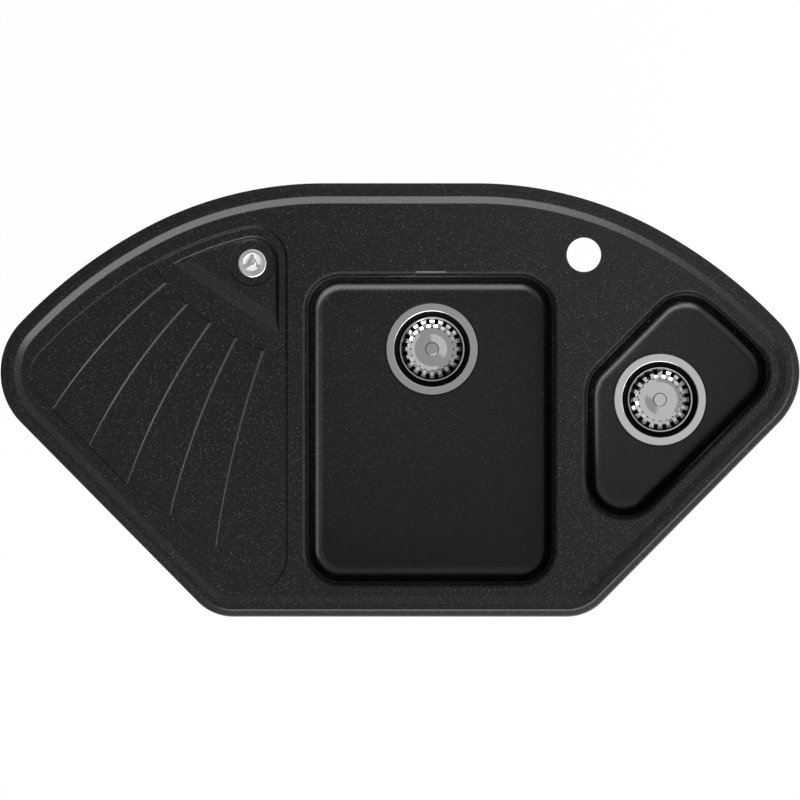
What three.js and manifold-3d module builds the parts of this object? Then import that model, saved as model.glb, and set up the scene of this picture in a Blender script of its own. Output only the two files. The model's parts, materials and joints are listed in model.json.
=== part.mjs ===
// A corner kitchen sink moulded in one black composite: a main bowl, a small bowl and a ribbed
// drainer, with its strainers, wastes, overflow, trap and fixing clips.
// Millimetres and degrees. X runs to the right, Y from the front edge to the corner of the kitchen,
// and Z up from the face of the worktop on which the rim rests.
import * as THREE from "three";
import { mergeVertices } from "three/addons/utils/BufferGeometryUtils.js";
import Module from "manifold-3d";

const wasm = await Module();
wasm.setup();

// ---------- Driving dimensions ----------
// Outline: a straight front, two diagonals, and one crown of arcs that faces the kitchen's corner.
const sinkWidth = 1060;
const sinkDepth = 575;
const shoulderWidth = 429;
const rearRadius = 504;
const rearSweep = 28.15;
const flankRadius = 655;
const apexRadius = 95.5;
const frontCornerRadius = 66;
const diagonalAngle = 45.36;

// Rim and deck, as a section inwards from the silhouette.
const rimHeight = 8.5;
const rimBevelWidth = 9.3;
const rimLandWidth = 7.9;
const rimSlopeWidth = 10;
const rimEdgeHeight = 4.6;
const rimEdgeRound = 2.2;
const rimUndercut = 0.8;
const rimStep = 0.8;
const rimStepWidth = 1;
const deckHeight = 4.5;
const shell = 9;
const seatWidth = 16;
const seatFlare = 3;
const sealInset = 4;
const sealWidth = 6;
const sealHeight = 1.8;

// Main bowl.
const frontLedge = 38.7;
const rearLedge = 117.3;
const mainBowlCentre = 39.9;
const mainBowlWidth = 338;
const mainBowlDepth = 190;
const mainCornerRadius = 51;
const mainWallDraft = 4.5;

// Small bowl: two sides parallel to the rim, one parallel to the main bowl, one across the ledge.
const bowlBridge = 33.1;
const smallBowlInset = 37.4;
const smallBowlAcross = 191;
const smallBowlDepth = 135;
const smallCornerRadius = 56;
const smallWallDraft = 2;

// Both bowls.
const bowlLipRadius = 5.5;
const bowlFloorRadius = 16;
const bowlFloorFall = 3;

// Drainer.
const drainerBridge = 20.2;
const drainerRearInset = 45.7;
const drainerDiagonalInset = 41.8;
const drainerFrontRadius = 50.4;
const drainerRearRadius = 45;
const drainerApexRadius = 40;
const drainerStep = 1.2;
const drainerEdge = 2.4;
const creaseRadius = 312.5;
const creaseFromBridge = 76.5;
const creaseFromRear = 72.9;
const ridgeCount = 5;
const firstRidgeAngle = 220.8;
const ridgePitch = 7.25;
const ridgeTurn = 7.3;
const ridgeBow = 9;
const ridgeHeight = 2;
const ridgeHeightAtRim = 0.6;
const drainerFall = 2.6;

// Well of the drainer and its outlet.
const wellRearInset = 59.8;
const wellSideInset = 11.7;
const wellCornerRadius = 35;
const wellRampAngle = -33.6;
const wellRampDistance = 50;
const wellRampWidth = 22;
const wellWall = 8;
const wellDepth = 14.5;
const wellFall = 3;
const sumpRadius = 31;
const sumpMargin = 5;
const rosetteRadius = 18.5;
const outletRadius = 13.5;

// Holes in the deck and the rear wall.
const tapHoleRadius = 22.75;
const tapHoleX = 243.9;
const tapHoleFromRear = 95;
const overflowWidth = 40.4;
const overflowHeight = 10;
const overflowPocket = 3.3;
const overflowBelowDeck = 3.5;
const overflowFromDrain = -2;

// Strainers, each in a round seat in its bowl's floor.
const mainStrainerFromCentre = 2.9;
const mainStrainerFromRear = 102.3;
const smallStrainerFromBridge = 104.3;
const flangeRadius = 61;
const cupRadius = 50.2;
const basketRadius = 43.7;
const cupDepth = 38;
const slotCount = 20;
const slotInner = 31;
const slotWidth = 6;
const slotRise = 5;
const discRadius = 24;
const discRise = 2.5;
const knobRadius = 9.1;
const sheet = 1.2;
const gasketThickness = 1.2;
const lowerGasketThickness = 3;

// Wastes, pipes and hoses, in white plastic.
const pipeRadius = 20;
const pipeWall = 2;
const hoseRadius = 11;
const hoseWall = 2;
const fittingWall = 2.6;
const branchBelowFloor = 120.5;
const branchReach = 62;
const branchDrop = 40;
const insertion = 15;
const socketLength = 23;
const trapRadius = 30;
const trapCupDepth = 50;
const trapOutletReach = 26;
const trapReach = 120;

// Fixing clips under the rim.
const clipInset = 24;
const clipLength = 33;
const clipWidth = 12;
const clipSheet = 2;
const clipDrop = 40;
const screwRadius = 2.4;

// Clearances and the roundness of turned pieces.
const fit = 0.3;
const slide = 0.5;
const roundSides = 28;
const basketSides = 20;
const wasteSides = 16;
const pipeSides = 12;
const nutSides = 12;
const hoseSides = 8;
const screwSides = 6;

const rad = THREE.MathUtils.degToRad;
const rotate90 = Math.PI / 2;

// ---------- Plane outlines ----------
const at = (x, y) => new THREE.Vector2(x, y);
const polar = (centre, radius, degrees) =>
  at(centre.x + radius * Math.cos(rad(degrees)), centre.y + radius * Math.sin(rad(degrees)));

// An open run of points moved sideways to its left, each corner mitred.
function shifted(run, distance) {
  return run.map((point, i) => {
    const before = run[Math.max(i - 1, 0)];
    const after = run[Math.min(i + 1, run.length - 1)];
    const arrive = point.clone().sub(i ? before : point).normalize();
    const leave = after.clone().sub(i < run.length - 1 ? point : after).normalize();
    const along = arrive.clone().add(leave).normalize();
    const mitre = arrive.lengthSq() && leave.lengthSq() ? along.dot(leave) : 1;
    return at(point.x - (along.y * distance) / mitre, point.y + (along.x * distance) / mitre);
  });
}

// Where two runs cross, and how far along each, counted in segments.
function crossing(a, b) {
  for (let i = 0; i + 1 < a.length; i++)
    for (let j = 0; j + 1 < b.length; j++) {
      const u = a[i + 1].clone().sub(a[i]);
      const v = b[j + 1].clone().sub(b[j]);
      const gap = b[j].clone().sub(a[i]);
      const turn = u.cross(v);
      const s = gap.cross(v) / turn;
      const t = gap.cross(u) / turn;
      if (s >= 0 && s <= 1 && t >= 0 && t <= 1)
        return { point: a[i].clone().addScaledVector(u, s), onA: i + s, onB: j + t };
    }
  throw new Error("two sides of an outline don't meet");
}

const pointOn = (run, place) => {
  const i = Math.min(Math.floor(place), run.length - 2);
  return run[i].clone().lerp(run[i + 1], place - i);
};

// A stretch of a run between two places, as equal steps.
function stretch(run, from, to, steps) {
  const inner = run.filter((_, i) => i > from && i < to);
  const points = [pointOn(run, from), ...inner, pointOn(run, to)];
  const path = new THREE.CurvePath();
  for (let i = 0; i + 1 < points.length; i++)
    if (points[i].distanceTo(points[i + 1]) > 1e-6)
      path.add(new THREE.LineCurve(points[i], points[i + 1]));
  return Array.from({ length: steps + 1 }, (_, i) => path.getPoint(i / steps));
}

// A closed outline of runs met by round corners, walked with its inside on the left.
class Outline {
  constructor(sides, radii, steps, cornerSteps) {
    Object.assign(this, { sides, radii, steps, cornerSteps });
  }
  corner(k, inset) {
    const next = (k + 1) % this.sides.length;
    const radius = Math.max(this.radii[k] - inset, 0.5);
    const centre = crossing(
      shifted(this.sides[k], inset + radius),
      shifted(this.sides[next], inset + radius),
    );
    const from = pointOn(shifted(this.sides[k], inset), centre.onA).sub(centre.point);
    const to = pointOn(shifted(this.sides[next], inset), centre.onB).sub(centre.point);
    const start = Math.atan2(from.y, from.x);
    const sweep = (to.angle() - from.angle() + 4 * Math.PI) % (2 * Math.PI);
    const count = this.cornerSteps[k];
    const arc = Array.from({ length: count - 1 }, (_, i) => {
      const angle = start + (sweep * (i + 1)) / count;
      return at(
        centre.point.x + radius * Math.cos(angle),
        centre.point.y + radius * Math.sin(angle),
      );
    });
    return { centre: centre.point, leave: centre.onA, enter: centre.onB, arc };
  }
  side(k, inset) {
    const last = (k + this.sides.length - 1) % this.sides.length;
    const run = shifted(this.sides[k], inset);
    return stretch(run, this.corner(last, inset).enter, this.corner(k, inset).leave, this.steps[k]);
  }
  at(inset = 0) {
    return this.sides.flatMap((_, k) => [...this.side(k, inset), ...this.corner(k, inset).arc]);
  }
}

const far = 2 * (sinkWidth + sinkDepth);
const line = (point, degrees) => [polar(point, -far, degrees), polar(point, far, degrees)];
const lineAcross = (y) => line(at(0, y), 0);
const lineUp = (x) => line(at(x, 0), 90);
const turnedRound = (run) => [...run].reverse();

// ---------- Solids ----------
function solid(geometry) {
  for (const name of ["normal", "uv"]) geometry.deleteAttribute(name);
  const merged = mergeVertices(geometry, 1e-4);
  const corners = [...merged.index.array];
  const triangles = corners.filter((_, i) => {
    const [a, b, c] = corners.slice(i - (i % 3), i - (i % 3) + 3);
    return a !== b && b !== c && a !== c;
  });
  const build = (list) =>
    new wasm.Manifold(
      new wasm.Mesh({
        numProp: 3,
        vertProperties: new Float32Array(merged.attributes.position.array),
        triVerts: new Uint32Array(list),
      }),
    );
  const body = build(triangles);
  return body.volume() < 0 ? build(triangles.toReversed()) : body;
}

function geometryOf(body) {
  const mesh = body.getMesh();
  const geometry = new THREE.BufferGeometry();
  geometry.setAttribute("position", new THREE.BufferAttribute(mesh.vertProperties, 3));
  geometry.setIndex(new THREE.BufferAttribute(mesh.triVerts, 1));
  geometry.computeVertexNormals();
  return geometry;
}

const join = (first, ...rest) => rest.reduce((body, other) => body.add(other), first);
const cut = (first, ...rest) => rest.reduce((body, tool) => body.subtract(tool), first);

// A skin over rings of equal count, from the lowest ring's cap to the highest ring's.
function loft(rings) {
  const count = rings[0].points.length;
  const heightOf = (ring, p) => (typeof ring.z === "function" ? ring.z(p) : ring.z);
  const positions = rings.flatMap((ring) => ring.points.flatMap((p) => [p.x, p.y, heightOf(ring, p)]));
  const index = [];
  for (let k = 0; k + 1 < rings.length; k++)
    for (let i = 0; i < count; i++) {
      const a = k * count + i;
      const b = k * count + ((i + 1) % count);
      index.push(a, b, b + count, a, b + count, a + count);
    }
  const top = (rings.length - 1) * count;
  for (const [a, b, c] of THREE.ShapeUtils.triangulateShape(rings[0].points, []))
    index.push(a, c, b);
  for (const [a, b, c] of THREE.ShapeUtils.triangulateShape(rings.at(-1).points, []))
    index.push(top + a, top + b, top + c);
  const geometry = new THREE.BufferGeometry();
  geometry.setAttribute("position", new THREE.Float32BufferAttribute(positions, 3));
  geometry.setIndex(index);
  return solid(geometry);
}

const ring = (points, z) => ({ points, z });
const prism = (points, bottom, top) => loft([ring(points, bottom), ring(points, top)]);

// A body turned round the Z axis from [radius, height] pairs.
function turned(profile, sides, centre = new THREE.Vector3()) {
  const closed = [...profile, profile[0]].map(([radius, z]) => at(radius, z));
  const geometry = new THREE.LatheGeometry(closed, sides).rotateX(rotate90);
  return solid(geometry.translate(centre.x, centre.y, centre.z));
}

const tubeProfile = (inner, outer, bottom, top) => [
  [inner, bottom],
  [outer, bottom],
  [outer, top],
  [inner, top],
];
// A round bore is drawn outside its circle, so that a faceted shaft never touches it.
const bored = (radius, sides) => radius / Math.cos(Math.PI / sides);
const disc = (radius, bottom, top, sides, centre) =>
  turned(tubeProfile(0, radius, bottom, top), sides, centre);
const washer = (inner, outer, bottom, top, sides, centre) =>
  turned(tubeProfile(inner, outer, bottom, top), sides, centre);

function block(width, depth, height, x, y, z) {
  return solid(new THREE.BoxGeometry(width, depth, height).translate(x, y, z));
}

// A path of straight runs joined by bends, lengthened at both ends by the same amount.
function route(points, bend, extra = 0) {
  const towards = (from, to, distance) =>
    from.clone().addScaledVector(to.clone().sub(from).normalize(), distance);
  const path = new THREE.CurvePath();
  let from = towards(points[0], points[1], -extra);
  for (let i = 1; i + 1 < points.length; i++) {
    const enter = towards(points[i], points[i - 1], bend);
    const leave = towards(points[i], points[i + 1], bend);
    path.add(new THREE.LineCurve3(from, enter));
    path.add(new THREE.QuadraticBezierCurve3(enter, points[i], leave));
    from = leave;
  }
  path.add(new THREE.LineCurve3(from, towards(points.at(-1), points.at(-2), -extra)));
  return path;
}

// A round bar along a path, or a pipe where it has a bore.
function tube(path, outer, bore, steps, sides = pipeSides) {
  const section = new THREE.Shape().absarc(0, 0, outer, 0, 2 * Math.PI);
  if (bore) section.holes.push(new THREE.Path().absarc(0, 0, bore, 0, 2 * Math.PI));
  const settings = { steps, extrudePath: path, bevelEnabled: false, curveSegments: sides / 2 };
  return solid(new THREE.ExtrudeGeometry(section, settings));
}

// A bar of a plane section, drawn in X and Z and centred on Y.
function extruded(outline, width) {
  const settings = { depth: width, bevelEnabled: false };
  const geometry = new THREE.ExtrudeGeometry(new THREE.Shape(outline), settings);
  return solid(geometry.rotateX(rotate90).translate(0, width / 2, 0));
}

// ---------- Materials ----------
const finish = (color, roughness, metalness) =>
  new THREE.MeshStandardMaterial({ color, roughness, metalness });
const composite = finish(0x26272a, 0.45, 0);
const steel = finish(0x9a9a9d, 0.3, 1);
const chrome = finish(0xd8d8da, 0.12, 1);
const rubber = finish(0x1b1b1b, 0.8, 0);
const plastic = finish(0xeceae4, 0.5, 0);
const zinc = finish(0xa9abad, 0.45, 1);

// ---------- The sink's own outline ----------
// The crown from the right apex over the rear to the left apex, run on well past both.
function crownRun() {
  const step = 3;
  const half = [];
  const rearCentre = at(sinkWidth / 2 - shoulderWidth, sinkDepth - rearRadius);
  for (let a = 0; a < rearSweep; a += step) half.push(polar(rearCentre, rearRadius, 90 - a));
  const joint = polar(rearCentre, rearRadius, 90 - rearSweep);
  const flankCentre = polar(rearCentre, rearRadius - flankRadius, 90 - rearSweep);
  half.push(joint);
  for (let a = rearSweep + step; a < 90; a += step)
    half.push(polar(flankCentre, flankRadius, 90 - a));
  const mirrored = half.map((p) => at(-p.x, p.y));
  return [...turnedRound(half), ...mirrored];
}

const crown = crownRun();
const apexLine = lineUp(sinkWidth / 2 - apexRadius);
const rightApex = crossing(shifted(crown, apexRadius), apexLine).point;
const diagonalFoot = polar(rightApex, apexRadius, diagonalAngle - 90);
const rightDiagonal = line(diagonalFoot, diagonalAngle);
const leftDiagonal = turnedRound(rightDiagonal).map((p) => at(-p.x, p.y));

const sinkOutline = new Outline(
  [lineAcross(0), rightDiagonal, crown, leftDiagonal],
  [frontCornerRadius, apexRadius, apexRadius, frontCornerRadius],
  [1, 1, 24, 1],
  [4, 8, 8, 4],
);

// ---------- Bowls ----------
const mainBowlLeft = mainBowlCentre - mainBowlWidth / 2;
const mainBowlRight = mainBowlCentre + mainBowlWidth / 2;
const mainBowlRear = sinkDepth - rearLedge;
const mainBowlOutline = new Outline(
  [
    lineAcross(frontLedge),
    lineUp(mainBowlRight),
    turnedRound(lineAcross(mainBowlRear)),
    turnedRound(lineUp(mainBowlLeft)),
  ],
  [mainCornerRadius, mainCornerRadius, mainCornerRadius, mainCornerRadius],
  [2, 2, 2, 2],
  [5, 5, 5, 5],
);

const smallBowlLeft = mainBowlRight + bowlBridge;
const smallBowlOuterSide = shifted(rightDiagonal, smallBowlInset);
const smallBowlOutline = new Outline(
  [
    smallBowlOuterSide,
    shifted(crown, smallBowlInset),
    turnedRound(shifted(smallBowlOuterSide, smallBowlAcross)),
    turnedRound(lineUp(smallBowlLeft)),
  ],
  [smallCornerRadius, smallCornerRadius, smallCornerRadius, smallCornerRadius],
  [3, 2, 2, 2],
  [5, 5, 4, 6],
);

const mainDrain = at(mainBowlCentre + mainStrainerFromCentre, mainBowlRear - mainStrainerFromRear);
const smallDrain = crossing(
  shifted(smallBowlOuterSide, smallBowlAcross / 2),
  lineUp(smallBowlLeft + smallStrainerFromBridge),
).point;

const bowls = {
  main: {
    outline: mainBowlOutline,
    drain: mainDrain,
    floor: deckHeight - mainBowlDepth,
    draft: mainWallDraft,
  },
  small: {
    outline: smallBowlOutline,
    drain: smallDrain,
    floor: deckHeight - smallBowlDepth,
    draft: smallWallDraft,
  },
};

// The strainer's seat: a flat round recess at the foot of the floor's fall.
const seatClearance = 1;
const seatRecess = 2.2;
const seatRadius = flangeRadius + seatClearance;
const cupHoleRadius = cupRadius + sheet + slide;
const padMargin = 8;
const padRadius = seatRadius + padMargin;
const seatHeight = (bowl) => bowl.floor - bowlFloorFall - seatRecess;
const padHeight = (bowl) => bowl.floor - bowlFloorFall - shell;

const quarter = [0, 30, 60, 90].map(rad);
const coarseQuarter = [0, 45, 90].map(rad);
const circleLike = (points, centre, radius) =>
  points.map((p) => p.clone().sub(centre).setLength(radius).add(centre));

// The wet face of a bowl as rings from its floor up to above the deck.
function bowlCavity({ outline, drain, floor, draft }) {
  const foot = bowlLipRadius + draft;
  const floorEdge = outline.at(foot + bowlFloorRadius);
  const floorRings = quarter.map((a) =>
    ring(
      outline.at(foot + bowlFloorRadius * (1 - Math.sin(a))),
      floor + bowlFloorRadius * (1 - Math.cos(a)),
    ),
  );
  const lipRings = coarseQuarter.map((a) =>
    ring(
      outline.at(bowlLipRadius * Math.cos(a)),
      deckHeight - bowlLipRadius * (1 - Math.sin(a)),
    ),
  );
  return loft([
    ring(circleLike(floorEdge, drain, padRadius), floor - bowlFloorFall),
    ...floorRings,
    ...lipRings,
    ring(outline.at(0), deckHeight + rimHeight),
  ]);
}

// The tub around it, one wall thicker, up into the deck.
function bowlTub({ outline, drain, floor, draft }) {
  const foot = bowlLipRadius + draft;
  const outer = bowlFloorRadius + shell;
  const floorRings = coarseQuarter.map((a) =>
    ring(
      outline.at(foot + bowlFloorRadius - outer * Math.sin(a)),
      floor + bowlFloorRadius - outer * Math.cos(a),
    ),
  );
  const edge = outline.at(foot + bowlFloorRadius);
  return loft([
    ring(circleLike(edge, drain, padRadius), floor - bowlFloorFall - shell),
    ...floorRings,
    ring(outline.at(bowlLipRadius - shell), deckHeight - bowlLipRadius),
    ring(outline.at(bowlLipRadius - shell), deckHeight - fit),
  ]);
}

// ---------- Drainer ----------
const drainerRight = mainBowlLeft - drainerBridge;
const drainerOutline = new Outline(
  [
    shifted(leftDiagonal, drainerDiagonalInset),
    lineUp(drainerRight),
    shifted(crown, drainerRearInset),
  ],
  [drainerFrontRadius, drainerRearRadius, drainerApexRadius],
  [2, 3, 8],
  [7, 5, 5],
);

const creaseCentre = at(drainerRight + creaseFromBridge, sinkDepth + creaseFromRear);
const creaseStart = (k) => polar(creaseCentre, creaseRadius, firstRidgeAngle + k * ridgePitch);
const ridgeSteps = 5;
const ridgeOverrun = 1.12;

// A ridge from the crease to past the drainer's diagonal edge, bowed towards the rear.
function ridgeRun(k) {
  const start = creaseStart(k);
  const heading = firstRidgeAngle + k * ridgePitch + ridgeTurn;
  const reach = [start, polar(start, far, heading)];
  const end = crossing(reach, drainerOutline.sides[0]).point;
  const length = start.distanceTo(end);
  return Array.from({ length: ridgeSteps + 1 }, (_, i) => {
    const t = (i / ridgeSteps) * ridgeOverrun;
    const along = polar(start, t * length, heading);
    return polar(along, 4 * ridgeBow * t * (1 - t), heading - 90);
  });
}

// The last panel ends at the drainer's straight side.
function sideRun() {
  const overlap = 4;
  const from = creaseStart(ridgeCount - 1).y;
  const run = ridgeRun(ridgeCount - 1);
  return run.map((p, i) => at(drainerRight + overlap, i ? p.y : from));
}

// One panel as a cutter: low beside its own ridge, high where the next ridge drops away.
function panelCutter(near, next) {
  const corners = [];
  near.forEach((p, i) => {
    const share = Math.min((i / ridgeSteps) * ridgeOverrun, 1);
    const low = deckHeight - drainerStep - drainerFall * (1 - share);
    const high = low + ridgeHeight + (ridgeHeightAtRim - ridgeHeight) * share;
    corners.push({ p, low, q: next[i], high });
  });
  const top = deckHeight + rimHeight;
  const sections = corners.map(({ p, low, q, high }) => [
    [p.x, p.y, low],
    [q.x, q.y, high],
    [q.x, q.y, top],
    [p.x, p.y, top],
  ]);
  const index = [];
  for (let k = 0; k + 1 < sections.length; k++)
    for (let i = 0; i < 4; i++) {
      const a = 4 * k + i;
      const b = 4 * k + ((i + 1) % 4);
      index.push(a, b, b + 4, a, b + 4, a + 4);
    }
  const last = 4 * (sections.length - 1);
  index.push(0, 2, 1, 0, 3, 2, last, last + 1, last + 2, last, last + 2, last + 3);
  const geometry = new THREE.BufferGeometry();
  geometry.setAttribute("position", new THREE.Float32BufferAttribute(sections.flat(2), 3));
  geometry.setIndex(index);
  return solid(geometry);
}

// The smooth apron beyond the crease falls towards the well.
const apronDrop = 0.4;
const apronHeight = deckHeight - drainerStep - drainerFall - apronDrop;

const wellCorner = new Outline(
  [lineUp(drainerRight - wellSideInset), shifted(crown, wellRearInset)],
  [wellCornerRadius, wellCornerRadius],
  [2, 6],
  [6, 6],
).corner(0, 0);
const outletCentre = wellCorner.centre;
const wellRampFoot = wellRampDistance - wellRampWidth / 2;
const wellRampHead = wellRampDistance + wellRampWidth / 2;
const wellOutline = new Outline(
  [
    line(polar(outletCentre, wellRampHead + 2 * wellWall, wellRampAngle - 90), wellRampAngle),
    lineUp(drainerRight - wellSideInset),
    shifted(crown, wellRearInset),
  ],
  [wellWall, wellCornerRadius, wellWall],
  [1, 2, 5],
  [1, 7, 1],
);
const sumpFloor = deckHeight - apronDrop - wellDepth;
const sumpTop = sumpFloor + wellFall + 1;
const wellRise = apronHeight - sumpFloor;
const rosetteSeat = sumpFloor - sheet - fit;
const wellPad = sumpFloor - shell;
const wellPadRadius = sumpRadius + sumpMargin;

const creaseSteps = 96;

function drainerCutter() {
  const runs = [];
  for (let k = -1; k < ridgeCount; k++) runs.push(ridgeRun(k));
  runs.push(sideRun());
  const panels = runs.slice(1).map((next, i) => panelCutter(runs[i], next));
  const turns = Array.from({ length: creaseSteps }, (_, i) => (i * 360) / creaseSteps);
  const circle = turns.map((turn) => polar(creaseCentre, creaseRadius, turn));
  const apron = prism(circle, apronHeight, deckHeight + rimHeight);
  const recess = loft([
    ring(drainerOutline.at(drainerEdge), apronHeight - 1),
    ring(drainerOutline.at(drainerEdge), apronHeight),
    ring(drainerOutline.at(0), deckHeight),
    ring(drainerOutline.at(0), deckHeight + rimHeight),
  ]);
  return join(apron, ...panels).intersect(recess);
}

// The well, or the body one shell thicker: its floor falls to the far side, and a soft ramp
// climbs from it to the apron.
function wellBody(thickness, top) {
  const floor = sumpFloor - thickness;
  const walls = loft([
    ring(wellOutline.at(wellWall - thickness), floor),
    ring(wellOutline.at(wellWall / 3 - thickness), floor + wellRise / 3),
    ring(wellOutline.at(-thickness), floor + wellRise),
    ring(wellOutline.at(-thickness), top),
  ]);
  const far = -wellCornerRadius - wellWall - shell;
  const climb = wellRise - wellFall;
  const ramp = [0, 0.2, 0.4, 0.6, 0.8, 1].map((share) =>
    at(
      wellRampFoot + wellRampWidth * share,
      floor + wellFall + climb * share * share * (3 - 2 * share),
    ),
  );
  const section = [at(wellRampHead, top), at(far, top), at(far, floor), at(-sumpRadius, floor)];
  const slice = extruded([...section, ...ramp], 2 * creaseRadius)
    .rotate([0, 0, wellRampAngle - 90])
    .translate([outletCentre.x, outletCentre.y, 0]);
  return walls.intersect(slice);
}

function wellCutter() {
  const middle = new THREE.Vector3(outletCentre.x, outletCentre.y, 0);
  return join(
    wellBody(0, deckHeight + rimHeight),
    disc(sumpRadius, sumpFloor, sumpTop, roundSides, middle),
    disc(rosetteRadius + 2 * slide, rosetteSeat, sumpTop, roundSides, middle),
    disc(outletRadius, wellPad - 1, sumpTop, roundSides, middle),
  );
}

function drainerUnderside() {
  const middle = new THREE.Vector3(outletCentre.x, outletCentre.y, 0);
  return join(
    loft([
      ring(drainerOutline.at(shell / 2), apronHeight - shell),
      ring(drainerOutline.at(-shell / 2), deckHeight - shell + fit),
      ring(drainerOutline.at(-shell / 2), 0),
    ]),
    wellBody(shell, 0),
    disc(wellPadRadius, wellPad, sumpFloor, roundSides, middle),
  );
}

// ---------- Basin ----------
const rimLandEnd = rimBevelWidth + rimLandWidth;
const rimSlopeEnd = rimLandEnd + rimSlopeWidth;
const underDeck = deckHeight - shell;

function deckSlab() {
  const section = [
    [seatWidth + seatFlare, underDeck],
    [seatWidth, 0],
    [rimUndercut, 0],
    [0, rimUndercut],
    [0, rimEdgeHeight],
    [rimEdgeRound, rimEdgeHeight + rimEdgeRound],
    [rimBevelWidth - rimStepWidth, rimHeight - rimStep],
    [rimBevelWidth, rimHeight],
    [rimLandEnd, rimHeight],
    [rimSlopeEnd, deckHeight],
  ];
  return loft(section.map(([inset, z]) => ring(sinkOutline.at(inset), z)));
}

function sealRing(inner, outer, bottom, top) {
  return cut(
    prism(sinkOutline.at(outer), bottom, top),
    prism(sinkOutline.at(inner), bottom - 1, top + 1),
  );
}

const tapHole = new THREE.Vector3(tapHoleX, sinkDepth - tapHoleFromRear, 0);

// The overflow's boss stands on the rear of the tub, flat for its gasket.
const overflowTop = underDeck - overflowBelowDeck;
const overflowCentre = new THREE.Vector3(
  mainDrain.x + overflowFromDrain,
  mainBowlRear - bowlLipRadius + overflowPocket,
  overflowTop - overflowHeight / 2,
);
const overflowBossY = mainBowlRear + shell;
const overflowBossWidth = overflowWidth + 26;
const overflowBossHeight = 38;

function overflowBoss() {
  const depth = overflowBossY - mainBowlRear + 2 * bowlLipRadius;
  return block(
    overflowBossWidth,
    depth,
    overflowBossHeight,
    overflowCentre.x,
    overflowBossY - depth / 2,
    underDeck + 1 - overflowBossHeight / 2,
  );
}

function overflowCutters() {
  const { x, y, z } = overflowCentre;
  const reach = 60;
  const pocketTop = deckHeight - 2;
  const pocketBottom = z - overflowHeight / 2 - 1;
  const pocket = block(
    overflowWidth,
    reach,
    pocketTop - pocketBottom,
    x,
    y - reach / 2,
    (pocketTop + pocketBottom) / 2,
  );
  const slot = block(overflowWidth - 4, reach, overflowHeight, x, y, z);
  const chamfer = solid(
    new THREE.BoxGeometry(overflowWidth, reach, 4 * pocketTop)
      .translate(0, -reach / 2, 2 * pocketTop)
      .rotateX(-rad(45))
      .translate(x, y, pocketTop - fit),
  );
  return [pocket, slot, chamfer];
}

// Places of the fixing clips: a share of the way along a side of the outline.
const clipPlaces = [
  { side: 0, share: 0.12 },
  { side: 0, share: 0.9 },
  { side: 1, share: 0.5 },
  { side: 2, share: 0.13 },
  { side: 2, share: 0.37 },
  { side: 2, share: 0.6 },
  { side: 2, share: 0.87 },
  { side: 3, share: 0.55 },
];

function clipFrame({ side, share }) {
  const run = sinkOutline.side(side, clipInset);
  const place = share * (run.length - 1);
  const point = pointOn(run, place);
  const ahead = pointOn(run, Math.min(place + 0.5, run.length - 1));
  const behind = pointOn(run, Math.max(place - 0.5, 0));
  return { point, heading: ahead.sub(behind).angle() };
}

const bossRadius = 6;
const bossHeight = 4;
const screwHoleTop = underDeck + shell / 2;

function clipBosses() {
  return clipPlaces.map((place) => {
    const { point } = clipFrame(place);
    const centre = new THREE.Vector3(point.x, point.y, 0);
    return disc(bossRadius, underDeck - bossHeight, underDeck + 1, screwSides, centre);
  });
}

function clipHoles() {
  return clipPlaces.map((place) => {
    const { point } = clipFrame(place);
    const centre = new THREE.Vector3(point.x, point.y, 0);
    const bottom = underDeck - bossHeight - 1;
    return disc(screwRadius + fit, bottom, screwHoleTop, screwSides, centre);
  });
}

function drainCutters(bowl) {
  const centre = new THREE.Vector3(bowl.drain.x, bowl.drain.y, 0);
  return [
    disc(seatRadius, seatHeight(bowl), bowl.floor, roundSides, centre),
    disc(cupHoleRadius, padHeight(bowl) - 1, bowl.floor, roundSides, centre),
  ];
}

function basin() {
  const { main, small } = bowls;
  const body = join(
    deckSlab(),
    bowlTub(main),
    bowlTub(small),
    drainerUnderside(),
    overflowBoss(),
    ...clipBosses(),
  );
  return cut(
    body,
    bowlCavity(main),
    bowlCavity(small),
    drainerCutter(),
    wellCutter(),
    ...drainCutters(main),
    ...drainCutters(small),
    disc(tapHoleRadius, underDeck - 1, deckHeight + 1, roundSides, tapHole),
    ...overflowCutters(),
    ...clipHoles(),
    sealRing(sealInset + sealWidth, sealInset, -1, sealHeight),
  );
}

// ---------- Strainer and waste ----------
// Heights here count up from the flat seat in the bowl's floor.
const flangeBottom = gasketThickness + 2 * fit;
const flangeTop = flangeBottom + sheet;
const shoulder = -9;
const cupFloor = -cupDepth;
const shoulderRadius = basketRadius + slide;
const cupWallRadius = shoulderRadius - 4.2;
const drainOpening = 24;
const hubRadius = 7;
const spokeWidth = 5;

// Three spokes out from the middle, the first at an angle counted from X.
function spider(reach, width, bottom, top, firstAngle) {
  const spokes = [0, 120, 240].map((turn) =>
    solid(
      new THREE.BoxGeometry(reach, width, top - bottom)
        .translate(reach / 2, 0, (top + bottom) / 2)
        .rotateZ(rad(firstAngle + turn)),
    ),
  );
  return join(...spokes);
}

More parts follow.
